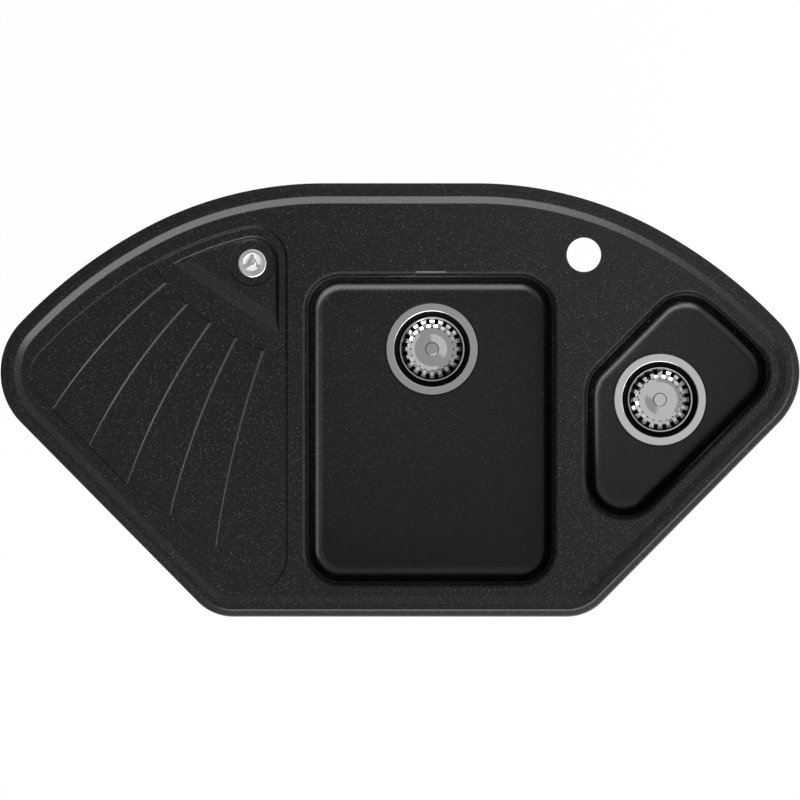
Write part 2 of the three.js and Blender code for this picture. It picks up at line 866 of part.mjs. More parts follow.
function strainerFlange() {
  const lip = shoulder - 0.6;
  const cup = turned(
    [
      [flangeRadius, flangeBottom],
      [flangeRadius - 0.6, flangeTop],
      [cupRadius + sheet, flangeTop],
      [cupRadius, flangeTop - 0.8],
      [shoulderRadius, shoulder],
      [shoulderRadius - 1.6, lip],
      [cupWallRadius, cupFloor],
      [drainOpening, cupFloor - 0.5],
      [drainOpening, cupFloor - 0.5 - sheet],
      [cupWallRadius + sheet, cupFloor - sheet],
      [shoulderRadius + sheet, shoulder - 0.4],
      [cupRadius + sheet, flangeBottom],
    ],
    roundSides,
  );
  const bottom = cupFloor - 0.5 - sheet;
  const top = cupFloor - 0.5;
  const hub = join(
    disc(hubRadius, bottom, top, hoseSides),
    spider(drainOpening + 2, spokeWidth, bottom, top, 90),
  );
  return cut(join(cup, hub), disc(screwRadius + fit, bottom - 1, top + 1, screwSides));
}

const basketRimTop = shoulder + 2.6;
const basketFloor = cupFloor + 9;
const discHeight = basketFloor + discRise;
const stemRadius = 3;

function basket() {
  const wall = basketRadius - 3;
  const foot = wall - 3;
  const body = turned(
    [
      [basketRadius, shoulder + fit],
      [basketRadius - 0.8, basketRimTop],
      [wall, shoulder + 1],
      [foot, basketFloor + slotRise + sheet],
      [slotInner, basketFloor + sheet],
      [discRadius + 2, basketFloor + sheet],
      [discRadius, discHeight + sheet],
      [stemRadius + fit, discHeight + sheet],
      [stemRadius + fit, discHeight],
      [discRadius - 0.5, discHeight],
      [discRadius + 1.5, basketFloor],
      [slotInner + 0.5, basketFloor],
      [foot + 0.9, basketFloor + slotRise],
      [wall + 0.9, shoulder - 0.2],
    ],
    basketSides,
  );
  const reach = foot - slotInner - slide;
  const slots = Array.from({ length: slotCount }, (_, i) =>
    solid(
      new THREE.BoxGeometry(reach, slotWidth, 8)
        .translate(slotInner + reach / 2, 0, basketFloor + 3)
        .rotateZ(((i + 0.5) * 2 * Math.PI) / slotCount),
    ),
  );
  return cut(body, ...slots);
}

const knobTop = basketFloor + 15;
const plugBottom = cupFloor + fit;

function basketKnob() {
  return turned(
    [
      [0, plugBottom + 3],
      [stemRadius + 2, plugBottom + 3],
      [stemRadius + 2, plugBottom + 4],
      [stemRadius, plugBottom + 4],
      [stemRadius, basketFloor + 7],
      [knobRadius, knobTop - 5],
      [knobRadius, knobTop - 2],
      [knobRadius - 3, knobTop],
      [0, knobTop],
    ],
    pipeSides,
  );
}

function basketPlug() {
  return turned(
    [
      [stemRadius + fit, plugBottom + 4 + fit],
      [hubRadius + 3, plugBottom + 4 + fit],
      [hubRadius + 4, plugBottom],
      [drainOpening + 3, plugBottom],
      [drainOpening + 1, basketFloor - 2],
      [drainOpening - 3, discHeight - fit],
      [stemRadius + fit, discHeight - fit],
    ],
    nutSides,
  );
}

// Below the floor: rubber washer, clamped body, screw and union nut.
const padDepth = seatRecess - shell;
const lowerGasketTop = padDepth - fit;
const lowerGasketBottom = lowerGasketTop - lowerGasketThickness;
const bodyTop = lowerGasketBottom - fit;
const bodyInner = shoulderRadius + sheet + 1.2;
const bodyFloor = cupFloor - 8;
const socketBore = bored(pipeRadius + fit, pipeSides);
const spigotRadius = socketBore + fittingWall + slide;
const spigotTop = bodyFloor - 16;
const spigotBottom = spigotTop - socketLength;
const bossTop = bodyFloor - 2;
const bossBottom = spigotTop - 4;

const hoseBore = hoseRadius - hoseWall;
const hoseSpigotRadius = hoseBore * Math.cos(Math.PI / hoseSides) - fit;

function hoseSpigot(direction) {
  const height = cupFloor + 12;
  const from = bodyInner - 4;
  const to = bodyInner + fittingWall + 20;
  const along = (distance) =>
    new THREE.Vector3(Math.cos(direction) * distance, Math.sin(direction) * distance, height);
  const bore = hoseSpigotRadius - fittingWall;
  return {
    stub: tube(route([along(bodyInner + 1), along(to)], 0), hoseSpigotRadius, 0, 1, hoseSides),
    bore: tube(route([along(from), along(to + 1)], 0), bore, 0, 1, hoseSides),
    end: along(to),
    start: along(bodyInner + fittingWall + 1),
  };
}

function wasteBody(hoseDirections) {
  const outer = bodyInner + fittingWall;
  const shellBody = turned(
    [
      [bodyInner, bodyTop],
      [bodyInner, bodyFloor],
      [socketBore, spigotTop],
      [socketBore, spigotBottom],
      [spigotRadius, spigotBottom],
      [spigotRadius, spigotTop - 2],
      [outer, bodyFloor - 2],
      [outer, bodyTop - 4],
      [flangeRadius - 2, bodyTop - 4],
      [flangeRadius - 2, bodyTop],
    ],
    wasteSides,
  );
  const ribs = spider(spigotRadius, 3, bossBottom, spigotTop, -90);
  const boss = disc(screwRadius + 4, bossBottom, bossTop, screwSides);
  const spigots = hoseDirections.map(hoseSpigot);
  const body = join(shellBody, ribs, boss, ...spigots.map((s) => s.stub));
  const screwHole = disc(screwRadius + fit, bossBottom - 1, bossTop + 1, screwSides);
  return cut(body, screwHole, ...spigots.map((s) => s.bore));
}

function clampScrew() {
  const head = cupFloor - 0.5 + fit;
  return turned(
    [
      [0, bossBottom + 2],
      [screwRadius, bossBottom + 2],
      [screwRadius, head],
      [hubRadius - 1, head],
      [hubRadius - 1, head + 1.4],
      [hubRadius - 2.5, head + 2.6],
      [0, head + 2.6],
    ],
    screwSides,
  );
}

// A union nut over a spigot's end, with its lip under it.
const nutWall = 4;
const nutHeight = 16;
const nutLip = 3;

function unionNut(bore, over, end) {
  const inner = bored(over + fit, nutSides);
  const lip = bored(bore + fit, nutSides);
  return turned(
    [
      [inner, end + nutHeight - nutLip],
      [over + nutWall, end + nutHeight - nutLip],
      [over + nutWall, end - nutLip],
      [lip, end - nutLip],
      [lip, end - fit],
      [inner, end - fit],
    ],
    nutSides,
  );
}

// ---------- Assembly ----------
const sink = new THREE.Group();
sink.name = "corner_sink";

function node(name, body, material, parent = sink) {
  const mesh = new THREE.Mesh(geometryOf(body), material);
  mesh.name = name;
  parent.add(mesh);
  return mesh;
}

node("basin", basin(), composite);
node(
  "rim_seal",
  sealRing(sealInset + sealWidth - fit, sealInset + fit, 0, sealHeight - fit),
  rubber,
);

function wasteSet(name, bowl, hoseDirections) {
  const group = new THREE.Group();
  group.position.set(bowl.drain.x, bowl.drain.y, seatHeight(bowl));
  sink.add(group);
  node(
    `${name}_flange_gasket`,
    washer(cupHoleRadius + slide, flangeRadius - 1, fit, fit + gasketThickness, wasteSides),
    rubber,
    group,
  );
  node(`${name}_strainer_flange`, strainerFlange(), steel, group);
  node(`${name}_basket`, basket(), steel, group);
  node(`${name}_basket_knob`, basketKnob(), steel, group);
  node(`${name}_basket_plug`, basketPlug(), rubber, group);
  node(
    `${name}_lower_gasket`,
    washer(cupHoleRadius + slide, flangeRadius - 2, lowerGasketBottom, lowerGasketTop, pipeSides),
    rubber,
    group,
  );
  node(`${name}_waste_body`, wasteBody(hoseDirections), plastic, group);
  node(`${name}_clamp_screw`, clampScrew(), zinc, group);
  node(`${name}_waste_nut`, unionNut(pipeRadius, spigotRadius, spigotBottom), plastic, group);
  return group;
}

// Directions of the hose spigots on the main waste: to the drainer's outlet and to the overflow.
const drainerHoseDirection = rad(165);
const overflowHoseDirection = rad(90);
const mainWaste = wasteSet("main", bowls.main, [drainerHoseDirection, overflowHoseDirection]);
const smallWaste = wasteSet("small", bowls.small, []);

// ---------- Pipes ----------
const pipeBore = pipeRadius - pipeWall;
const pipeTop = spigotBottom + insertion;
const mainPipeTop = mainWaste.position.clone().setZ(mainWaste.position.z + pipeTop);
const smallPipeTop = smallWaste.position.clone().setZ(smallWaste.position.z + pipeTop);
const branchWay = new THREE.Vector3(smallDrain.x - mainDrain.x, smallDrain.y - mainDrain.y, 0);
branchWay.normalize();
const branchHeight = bowls.main.floor - branchBelowFloor;
const branchCentre = mainWaste.position.clone().setZ(branchHeight);
const branchEnd = branchCentre.clone().addScaledVector(branchWay, branchReach);
const teeBottom = branchHeight - branchDrop;

function branchTee() {
  const foot = branchCentre.clone().setZ(teeBottom);
  const socketStart = branchEnd.clone().addScaledVector(branchWay, -socketLength);
  const socketStop = branchEnd.clone().addScaledVector(branchWay, -insertion - 2);
  const stem = tube(route([mainPipeTop, foot], 0), pipeRadius, 0, 1);
  const arm = tube(route([branchCentre, branchEnd], 0), pipeRadius, 0, 1);
  const socket = tube(route([socketStart, branchEnd], 0), spigotRadius, 0, 1);
  return cut(
    join(stem, arm, socket),
    tube(route([mainPipeTop, foot], 0, 1), pipeBore, 0, 1),
    tube(route([branchCentre, branchEnd], 0), pipeBore, 0, 1),
    tube(route([socketStop, branchEnd], 0, 1), socketBore, 0, 1),
  );
}

const smallPipeBend = 55;

function smallPipe() {
  const bend = smallPipeTop.clone().setZ(branchHeight);
  const end = branchEnd.clone().addScaledVector(branchWay, -insertion);
  return tube(route([smallPipeTop, bend, end], smallPipeBend), pipeRadius, pipeBore, 9);
}

node("branch_tee", branchTee(), plastic);
node("small_waste_pipe", smallPipe(), plastic);
const branchNut = node("branch_nut", unionNut(pipeRadius, spigotRadius, 0), plastic);
branchNut.position.copy(branchEnd);
branchNut.quaternion.setFromUnitVectors(new THREE.Vector3(0, 0, -1), branchWay);

// ---------- Bottle trap ----------
// Heights here count down from the foot of the branch tee.
const trapTop = insertion;
const trapNeck = 24;
const trapStop = 4;
const trapOutletDrop = 34;
const trapCupLap = 12;
const trapJoint = -trapOutletDrop - spigotRadius - trapCupLap - trapStop;
const dipBelowJoint = 24;
const dipLength = dipBelowJoint - trapJoint;
const trapOuter = trapRadius + fittingWall;
const trapOutletEnd = trapOuter + trapOutletReach;

// The outlet arm as a round bar between two distances from the trap's axis.
function trapArm(from, to, radius) {
  const ends = [from, to].map((y) => new THREE.Vector3(0, y, -trapOutletDrop));
  return tube(route(ends, 0), radius, 0, 1);
}

function trapBody() {
  const roof = trapTop - trapNeck;
  const ceiling = roof - trapStop;
  const shellBody = turned(
    [
      [socketBore, trapTop],
      [socketBore, -trapStop],
      [pipeBore, -trapStop],
      [pipeBore, -dipLength],
      [pipeRadius, -dipLength],
      [pipeRadius, ceiling],
      [trapRadius, ceiling],
      [trapRadius, trapJoint],
      [trapOuter, trapJoint],
      [trapOuter, roof],
      [spigotRadius, roof + 3],
      [spigotRadius, trapTop],
    ],
    pipeSides,
  );
  const chamber = disc(trapRadius + 0.1, -dipLength, 0, pipeSides);
  const dipTube = disc(pipeRadius + 2, -dipLength, 0, pipeSides);
  const socketFrom = trapOutletEnd - insertion - 2;
  const bore = join(
    trapArm(pipeRadius + 4, trapOutletEnd - insertion, pipeBore),
    trapArm(socketFrom, trapOutletEnd + 1, socketBore),
  );
  const arm = cut(trapArm(trapRadius - 4, trapOutletEnd, spigotRadius), chamber);
  return cut(join(shellBody, arm), cut(bore, dipTube));
}

function trapCup() {
  const bottom = trapJoint - trapCupDepth;
  const grip = trapOuter + nutWall;
  const inner = bored(trapOuter + fit, pipeSides);
  return turned(
    [
      [0, bottom],
      [trapRadius - 8, bottom],
      [trapRadius, bottom + 8],
      [trapRadius, trapJoint - 4],
      [grip, trapJoint - 4],
      [grip, trapJoint + trapCupLap],
      [inner, trapJoint + trapCupLap],
      [inner, trapJoint - fit],
      [trapRadius - fittingWall, trapJoint - fit],
      [trapRadius - fittingWall, bottom + 9],
      [trapRadius - 9, bottom + fittingWall],
      [0, bottom + fittingWall],
    ],
    pipeSides,
  );
}

const trap = new THREE.Group();
trap.position.set(branchCentre.x, branchCentre.y, teeBottom);
sink.add(trap);
node("trap_body", trapBody(), plastic, trap);
node("trap_cup", trapCup(), plastic, trap);
const trapInletNut = node("trap_inlet_nut", unionNut(pipeRadius, spigotRadius, 0), plastic, trap);
trapInletNut.position.z = trapTop;
trapInletNut.rotation.x = Math.PI;
const trapOutletNut = node("trap_outlet_nut", unionNut(pipeRadius, spigotRadius, 0), plastic, trap);
trapOutletNut.position.set(0, trapOutletEnd, -trapOutletDrop);
trapOutletNut.rotation.x = rotate90;

const outletRun = [trapOutletEnd - insertion, trapOutletEnd + trapReach].map(
  (y) => new THREE.Vector3(0, y, -trapOutletDrop),
);
node("trap_outlet_pipe", tube(route(outletRun, 0), pipeRadius, pipeBore, 1), plastic, trap);

// ---------- Drainer outlet ----------
// Heights here count up from the rosette's seat.
const outlet = new THREE.Group();
outlet.position.set(outletCentre.x, outletCentre.y, rosetteSeat);
sink.add(outlet);
const padBelow = wellPad - rosetteSeat;
const rosetteWindow = 12.4;
const rosetteHub = 5.2;
const rosetteCrown = 0.6;
const rosetteSpoke = 4;
const rosetteScrewReach = 20;

function rosette() {
  const plate = turned(
    [
      [rosetteWindow, fit],
      [rosetteRadius, fit],
      [rosetteRadius, fit + 0.7],
      [rosetteRadius - 1.5, fit + sheet + rosetteCrown],
      [rosetteWindow + 0.8, fit + sheet + rosetteCrown],
      [rosetteWindow, fit + sheet],
    ],
    roundSides,
  );
  const arms = spider(rosetteWindow + 1, rosetteSpoke, fit, fit + sheet, -30);
  const hub = disc(rosetteHub + 0.6, fit, fit + sheet, screwSides);
  return cut(join(plate, arms, hub), disc(screwRadius + fit, 0, 5, screwSides));
}

function rosetteScrew() {
  const head = fit + sheet + fit;
  return turned(
    [
      [0, padBelow - rosetteScrewReach],
      [screwRadius, padBelow - rosetteScrewReach],
      [screwRadius, head],
      [rosetteHub, head],
      [rosetteHub, head + 0.8],
      [rosetteHub - 1.6, head + 1.8],
      [0, head + 1.8],
    ],
    screwSides,
  );
}

const padGasketThickness = 2;
const elbowTop = padBelow - padGasketThickness - 2 * fit;
const elbowBore = outletRadius - 1;
const elbowDrop = 34;
const elbowTurn = elbowTop - elbowDrop;
const elbowBottom = elbowTurn - outletRadius;
const elbowHeading = rad(-100);
const elbowWay = new THREE.Vector3(Math.cos(elbowHeading), Math.sin(elbowHeading), 0);
const elbowReach = 44;

function drainerElbow() {
  const top = new THREE.Vector3(0, 0, elbowTop);
  const turn = new THREE.Vector3(0, 0, elbowTurn);
  const end = turn.clone().addScaledVector(elbowWay, elbowReach);
  const stubStart = turn.clone().addScaledVector(elbowWay, elbowBore - 1);
  const boreStart = turn.clone().addScaledVector(elbowWay, 8);
  const cup = turned(
    [
      [0, elbowBottom],
      [outletRadius + 1, elbowBottom],
      [outletRadius + fittingWall, elbowTurn],
      [outletRadius + fittingWall, elbowTop - 3],
      [wellPadRadius - 4, elbowTop - 3],
      [wellPadRadius - 4, elbowTop],
      [0, elbowTop],
    ],
    pipeSides,
  );
  const boss = disc(screwRadius + fittingWall, elbowBottom, elbowTop - 10, screwSides);
  const hollow = tube(route([top, turn.clone().setZ(elbowBottom + 5)], 0, 3), elbowBore, 0, 1);
  const stub = tube(route([stubStart, end], 0), hoseSpigotRadius, 0, 1, hoseSides);
  const stubBore = tube(
    route([boreStart, end], 0, 1),
    hoseSpigotRadius - fittingWall,
    0,
    1,
    hoseSides,
  );
  const screwHole = disc(screwRadius + fit, padBelow - 24, elbowTop, screwSides);
  return cut(join(cup, stub), cut(join(hollow, stubBore), boss), screwHole);
}

node("drainer_rosette", rosette(), chrome, outlet);
node("drainer_rosette_screw", rosetteScrew(), chrome, outlet);
node(
  "drainer_gasket",
  washer(
    outletRadius + 1,
    wellPadRadius - 5,
    padBelow - padGasketThickness - fit,
    padBelow - fit,
    pipeSides,
  ),
  rubber,
  outlet,
);
node("drainer_elbow", drainerElbow(), plastic, outlet);

// ---------- Overflow ----------
const overflowGasketThickness = 2;
const overflowPlateY = overflowBossY + overflowGasketThickness + 2 * fit;
const overflowElbowY = overflowPlateY + 12;
const overflowDrop = 36;

const overflowPlateTop = underDeck - 1;
const overflowPlateSide = 10;
const overflowPlateEdge = 7;
const overflowPlateWidth = overflowWidth + 2 * overflowPlateSide;
const overflowPlateHeight = overflowHeight + 2 * overflowPlateEdge;
const overflowPlateZ = overflowPlateTop - overflowPlateHeight / 2;

function overflowGasket() {
  const { x, z } = overflowCentre;
  const y = overflowBossY + fit + overflowGasketThickness / 2;
  return cut(
    block(overflowPlateWidth, overflowGasketThickness, overflowPlateHeight, x, y, overflowPlateZ),
    block(overflowWidth - 4, 10, overflowHeight, x, y, z),
  );
}

function overflowElbow() {
  const { x, z } = overflowCentre;
  const plateThickness = 4;
  const plateY = overflowPlateY + plateThickness / 2;
  const boxDepth = 24;
  const boxHeight = overflowPlateTop - z + overflowHeight / 2 + fittingWall;
  const boxZ = overflowPlateTop - boxHeight / 2;
  const box = block(overflowWidth + 2, boxDepth, boxHeight, x, overflowPlateY + boxDepth / 2, boxZ);
  const hollowDepth = 2 * (boxDepth - fittingWall);
  const hollow = block(overflowWidth - 4, hollowDepth, overflowHeight, x, overflowPlateY, z);
  const top = new THREE.Vector3(x, overflowElbowY, z);
  const foot = new THREE.Vector3(x, overflowElbowY, z - overflowDrop);
  const stub = tube(route([top, foot], 0), hoseSpigotRadius, 0, 1, hoseSides);
  const bore = tube(route([top, foot], 0, 1), hoseSpigotRadius - fittingWall, 0, 1, hoseSides);
  return cut(
    join(
      block(overflowPlateWidth, plateThickness, overflowPlateHeight, x, plateY, overflowPlateZ),
      box,
      stub,
    ),
    hollow,
    bore,
  );
}

node("overflow_gasket", overflowGasket(), rubber);
node("overflow_elbow", overflowElbow(), plastic);

// ---------- Hoses, held at both ends on their spigots ----------
const hoseOverlap = 14;

function spigotEnds(direction) {
  const origin = mainWaste.position;
  const { start, end } = hoseSpigot(direction);
  return { start: start.add(origin), end: end.add(origin) };
}

const hoseBend = 34;

function bentHose(points, steps) {
  return tube(route(points, hoseBend), hoseRadius, hoseBore, steps, hoseSides);
}

function drainerHose() {
  const turn = outlet.position.clone().setZ(rosetteSeat + elbowTurn);
  const from = turn.clone().addScaledVector(elbowWay, elbowReach - hoseOverlap);
  const to = spigotEnds(drainerHoseDirection);
  const way = to.end.clone().sub(to.start).normalize();
  const leave = turn.clone().addScaledVector(elbowWay, elbowReach + 62);
  const reach = to.end.clone().addScaledVector(way, 130);
  return bentHose([from, leave, reach, to.start], 15);
}

const overflowHoseRise = 55;

function overflowHose() {
  const { x, z } = overflowCentre;
  const to = spigotEnds(overflowHoseDirection);
  const way = to.end.clone().sub(to.start).normalize();
  const from = new THREE.Vector3(x, overflowElbowY, z - overflowDrop + hoseOverlap);
  const low = new THREE.Vector3(x, overflowElbowY, to.start.z + overflowHoseRise);
  const reach = to.end.clone().addScaledVector(way, 36);
  return bentHose([from, low, reach, to.start], 12);
}

node("drainer_hose", drainerHose(), plastic);
node("overflow_hose", overflowHose(), plastic);

// ---------- Fixing clips ----------
const clipBottom = underDeck - clipDrop;
const heel = 5;
const heelTop = clipBottom + 16;
const toothTop = clipBottom + 8;

function fixingClip() {
  const section = [
    [-heel - clipSheet, clipBottom],
    [clipLength, clipBottom],
    [clipLength, toothTop],
    [clipLength - clipSheet, toothTop],
    [clipLength - clipSheet, clipBottom + clipSheet],
    [-heel, clipBottom + clipSheet],
    [-heel, heelTop],
    [-heel - clipSheet, heelTop],
  ].map(([x, z]) => at(x, z));
  const hole = disc(screwRadius + slide, clipBottom - 1, clipBottom + clipSheet + 1, screwSides);
  return cut(extruded(section, clipWidth), hole);
}

function fixingScrew() {
  const headBottom = clipBottom - fit - 2.4;
  return turned(
    [
      [0, headBottom],
      [screwRadius + 1.2, headBottom],
      [screwRadius + 2, headBottom + 0.8],
      [screwRadius + 2, clipBottom - fit],
      [screwRadius, clipBottom - fit],
      [screwRadius, screwHoleTop - 1],
      [0, screwHoleTop - 1],
    ],
    screwSides,
  );
}

clipPlaces.forEach((place, i) => {
  const { point, heading } = clipFrame(place);
  const clip = node(`fixing_clip_${i + 1}`, fixingClip(), zinc);
  clip.position.set(point.x, point.y, 0);
  clip.rotation.z = heading;
  const screw = node(`fixing_screw_${i + 1}`, fixingScrew(), zinc);
  screw.position.set(point.x, point.y, 0);
});

// The origin is the middle of the front seat strip, on the worktop's face.
const seatLine = (sealInset + sealWidth + seatWidth) / 2;
sink.position.y = -seatLine;

export default sink;
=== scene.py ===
"""A corner kitchen sink moulded in black composite, seen from straight above.

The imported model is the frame, and each piece here is modelled over its own node. Lengths are
millimetres with Y counted from the sink's front edge, until place() turns them into metres.
"""
import json
import math

import bpy
from mathutils import Matrix, Vector

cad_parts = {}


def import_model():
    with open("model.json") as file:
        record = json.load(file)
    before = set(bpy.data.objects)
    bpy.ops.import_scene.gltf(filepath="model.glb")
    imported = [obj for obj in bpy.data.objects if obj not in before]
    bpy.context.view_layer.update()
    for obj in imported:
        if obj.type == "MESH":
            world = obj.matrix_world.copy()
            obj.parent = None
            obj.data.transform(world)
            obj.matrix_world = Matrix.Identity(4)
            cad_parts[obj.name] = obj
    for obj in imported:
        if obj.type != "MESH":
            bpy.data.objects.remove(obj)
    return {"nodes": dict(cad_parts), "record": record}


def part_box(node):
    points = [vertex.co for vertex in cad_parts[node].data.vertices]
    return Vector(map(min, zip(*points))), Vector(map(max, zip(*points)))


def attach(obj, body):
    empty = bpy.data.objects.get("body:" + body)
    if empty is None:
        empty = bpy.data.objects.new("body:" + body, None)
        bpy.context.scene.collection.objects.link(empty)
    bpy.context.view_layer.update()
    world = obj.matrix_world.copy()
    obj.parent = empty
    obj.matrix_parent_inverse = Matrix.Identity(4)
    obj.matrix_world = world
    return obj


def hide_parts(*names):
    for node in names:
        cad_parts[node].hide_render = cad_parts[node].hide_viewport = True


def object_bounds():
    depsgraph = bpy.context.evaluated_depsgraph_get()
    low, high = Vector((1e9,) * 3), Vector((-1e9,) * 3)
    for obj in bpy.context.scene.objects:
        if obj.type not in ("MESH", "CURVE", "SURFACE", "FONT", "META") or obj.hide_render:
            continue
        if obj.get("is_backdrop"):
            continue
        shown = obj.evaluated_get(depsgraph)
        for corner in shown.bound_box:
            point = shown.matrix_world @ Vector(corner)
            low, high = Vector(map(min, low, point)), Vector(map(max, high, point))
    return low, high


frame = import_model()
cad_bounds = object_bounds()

# ---------- Driving dimensions, as in the part ----------
SEAT_LINE = 13

SINK_WIDTH = 1060
SINK_DEPTH = 575
SHOULDER_WIDTH = 429
REAR_RADIUS = 504
REAR_SWEEP = 28.15
FLANK_RADIUS = 655
APEX_RADIUS = 95.5
FRONT_CORNER_RADIUS = 66
DIAGONAL_ANGLE = 45.36

RIM_HEIGHT = 8.5
RIM_LAND_END = 17.2
RIM_SLOPE_END = 27.2
DECK_HEIGHT = 4.5
SHELL = 9
SEAT_WIDTH = 16
SEAL_INSET = 4
SEAL_WIDTH = 6
SEAL_HEIGHT = 1.8
UNDER_DECK = DECK_HEIGHT - SHELL

FRONT_LEDGE = 38.7
REAR_LEDGE = 117.3
MAIN_BOWL_CENTRE = 39.9
MAIN_BOWL_WIDTH = 338
MAIN_BOWL_DEPTH = 190
MAIN_CORNER_RADIUS = 51
MAIN_WALL_DRAFT = 4.5
BOWL_BRIDGE = 33.1
SMALL_BOWL_INSET = 37.4
SMALL_BOWL_ACROSS = 191
SMALL_BOWL_DEPTH = 135
SMALL_CORNER_RADIUS = 56
SMALL_WALL_DRAFT = 2
BOWL_LIP_RADIUS = 5.5
# The lip from the wall up: tilts from level in degrees, lower and upper, and the radius.
LIP_ARCS = ((88, 50, 6), (50, 36, 25))
LIP_STEPS = 6
WET_WALL_DRAFT = 1.5
WET_FLOOR_RADIUS = 20.6
BOWL_FLOOR_RADIUS = 16
BOWL_FLOOR_FALL = 3

DRAINER_BRIDGE = 20.2
DRAINER_REAR_INSET = 45.7
DRAINER_DIAGONAL_INSET = 41.8
DRAINER_RADII = (50.4, 45, 40)
DRAINER_STEP = 2.6
DRAINER_EDGE = 2.4
DRAINER_FALL = 1.2
CREASE_RADIUS = 312.5
CREASE_FROM_BRIDGE = 76.5
CREASE_FROM_REAR = 72.9
RIDGE_COUNT = 5
FIRST_RIDGE_ANGLE = 220.8
RIDGE_PITCH = 7.25
RIDGE_TURN = 7.3
RIDGE_BOW = 9
RIDGE_HEIGHT = 2
RIDGE_HEIGHT_AT_RIM = 0.6
APRON_DROP = 0.4
CREASE_DROP = 0.3
APRON_HEIGHT = DECK_HEIGHT - DRAINER_STEP - DRAINER_FALL - APRON_DROP - CREASE_DROP

WELL_REAR_INSET = 59.8
WELL_SIDE_INSET = 11.7
WELL_CORNER_RADIUS = 35
WELL_RAMP_ANGLE = -33.6
WELL_RAMP_FOOT = 39
WELL_RAMP_HEAD = 61
WELL_WALL = 8
WELL_DEPTH = 14.5
WELL_FALL = 3
SUMP_RADIUS = 31
ROSETTE_RADIUS = 18.5
OUTLET_RADIUS = 13.5

TAP_HOLE_RADIUS = 22.75
TAP_HOLE = (243.9, SINK_DEPTH - 95)
OVERFLOW_WIDTH = 40.4
OVERFLOW_HEIGHT = 10
OVERFLOW_POCKET = 3.3
OVERFLOW_SLOT = OVERFLOW_WIDTH - 4

FLANGE_RADIUS = 61
CUP_RADIUS = 50.2
SLOT_COUNT = 20
SHEET = 1.2
SCREW_RADIUS = 2.4
FIT = 0.3
SLIDE = 0.5
SCREW_HOLE = SCREW_RADIUS + FIT

PIPE_RADIUS = 20
PIPE_BORE = 18
HOSE_RADIUS = 11
STUB_RADIUS = 8
SOCKET_BORE = 21
SPIGOT_RADIUS = 24.1
BRANCH_HEIGHT = -306
BRANCH_REACH = 62
TRAP_TOP = -346
TRAP_OUTLET = -380
CLIP_HEADINGS = (0, 0, 45.36, 146.4, 175.31, 181.51, 213.6, 314.64)


# ---------- Plane outlines ----------
def polar(centre, radius, degrees):
    turn = math.radians(degrees)
    return Vector((centre[0] + radius * math.cos(turn), centre[1] + radius * math.sin(turn)))


def shifted(run, distance):
    """An open run of points moved sideways to its left, each corner mitred."""
    moved = []
    for i, point in enumerate(run):
        arrive = point - run[i - 1] if i else run[1] - point
        leave = run[i + 1] - point if i + 1 < len(run) else arrive
        arrive, leave = arrive.normalized(), leave.normalized()
        along = (arrive + leave).normalized()
        moved.append(point + Vector((-along.y, along.x)) * distance / along.dot(leave))
    return moved


def cross(a, b):
    return a.x * b.y - a.y * b.x


def crossing(a, b):
    """Where two runs cross, and how far along each, counted in segments."""
    for j in range(len(b) - 1):
        v = b[j + 1] - b[j]
        for i in range(len(a) - 1):
            u = a[i + 1] - a[i]
            turn = cross(u, v)
            if not turn:
                continue
            gap = b[j] - a[i]
            s, t = cross(gap, v) / turn, cross(gap, u) / turn
            if 0 <= s <= 1 and 0 <= t <= 1:
                return a[i] + u * s, i + s, j + t
    raise ValueError("two sides of an outline don't meet")


def point_on(run, place):
    i = min(int(place), len(run) - 2)
    return run[i].lerp(run[i + 1], place - i)


def stretch(run, start, stop, steps):
    """A stretch of a run between two places, as equal steps."""
    inner = [p for i, p in enumerate(run) if start < i < stop]
    points = [point_on(run, start), *inner, point_on(run, stop)]
    lengths = [0]
    for a, b in zip(points, points[1:]):
        lengths.append(lengths[-1] + (b - a).length)
    out, k = [], 0
    for step in range(steps + 1):
        want = lengths[-1] * step / steps
        while k + 2 < len(points) and lengths[k + 1] < want:
            k += 1
        span = lengths[k + 1] - lengths[k]
        out.append(points[k].lerp(points[k + 1], (want - lengths[k]) / span if span else 0))
    return out


class Outline:
    """A closed outline of runs met by round corners, walked with its inside on the left."""

    def __init__(self, sides, radii, steps, corner_steps):
        self.sides, self.radii, self.steps, self.corner_steps = sides, radii, steps, corner_steps

    def corner(self, k, inset):
        follows = (k + 1) % len(self.sides)
        radius = max(self.radii[k] - inset, 0.5)
        centre, on_a, on_b = crossing(
            shifted(self.sides[k], inset + radius), shifted(self.sides[follows], inset + radius)
        )
        start = point_on(shifted(self.sides[k], inset), on_a) - centre
        stop = point_on(shifted(self.sides[follows], inset), on_b) - centre
        first = math.atan2(start.y, start.x)
        sweep = (math.atan2(stop.y, stop.x) - first) % (2 * math.pi)
        count = self.corner_steps[k]
        turns = [math.degrees(first + sweep * i / count) for i in range(1, count)]
        return centre, on_a, on_b, [polar(centre, radius, turn) for turn in turns]

    def at(self, inset=0):
        corners = [self.corner(k, inset) for k in range(len(self.sides))]
        points = []
        for k, side in enumerate(self.sides):
            run = shifted(side, inset)
            points += stretch(run, corners[k - 1][2], corners[k][1], self.steps[k])
            points += corners[k][3]
        return points


FAR = 2 * (SINK_WIDTH + SINK_DEPTH)


def line(point, degrees):
    return [polar(point, -FAR, degrees), polar(point, FAR, degrees)]


def line_across(y):
    return line((0, y), 0)


def line_up(x):
    return line((x, 0), 90)


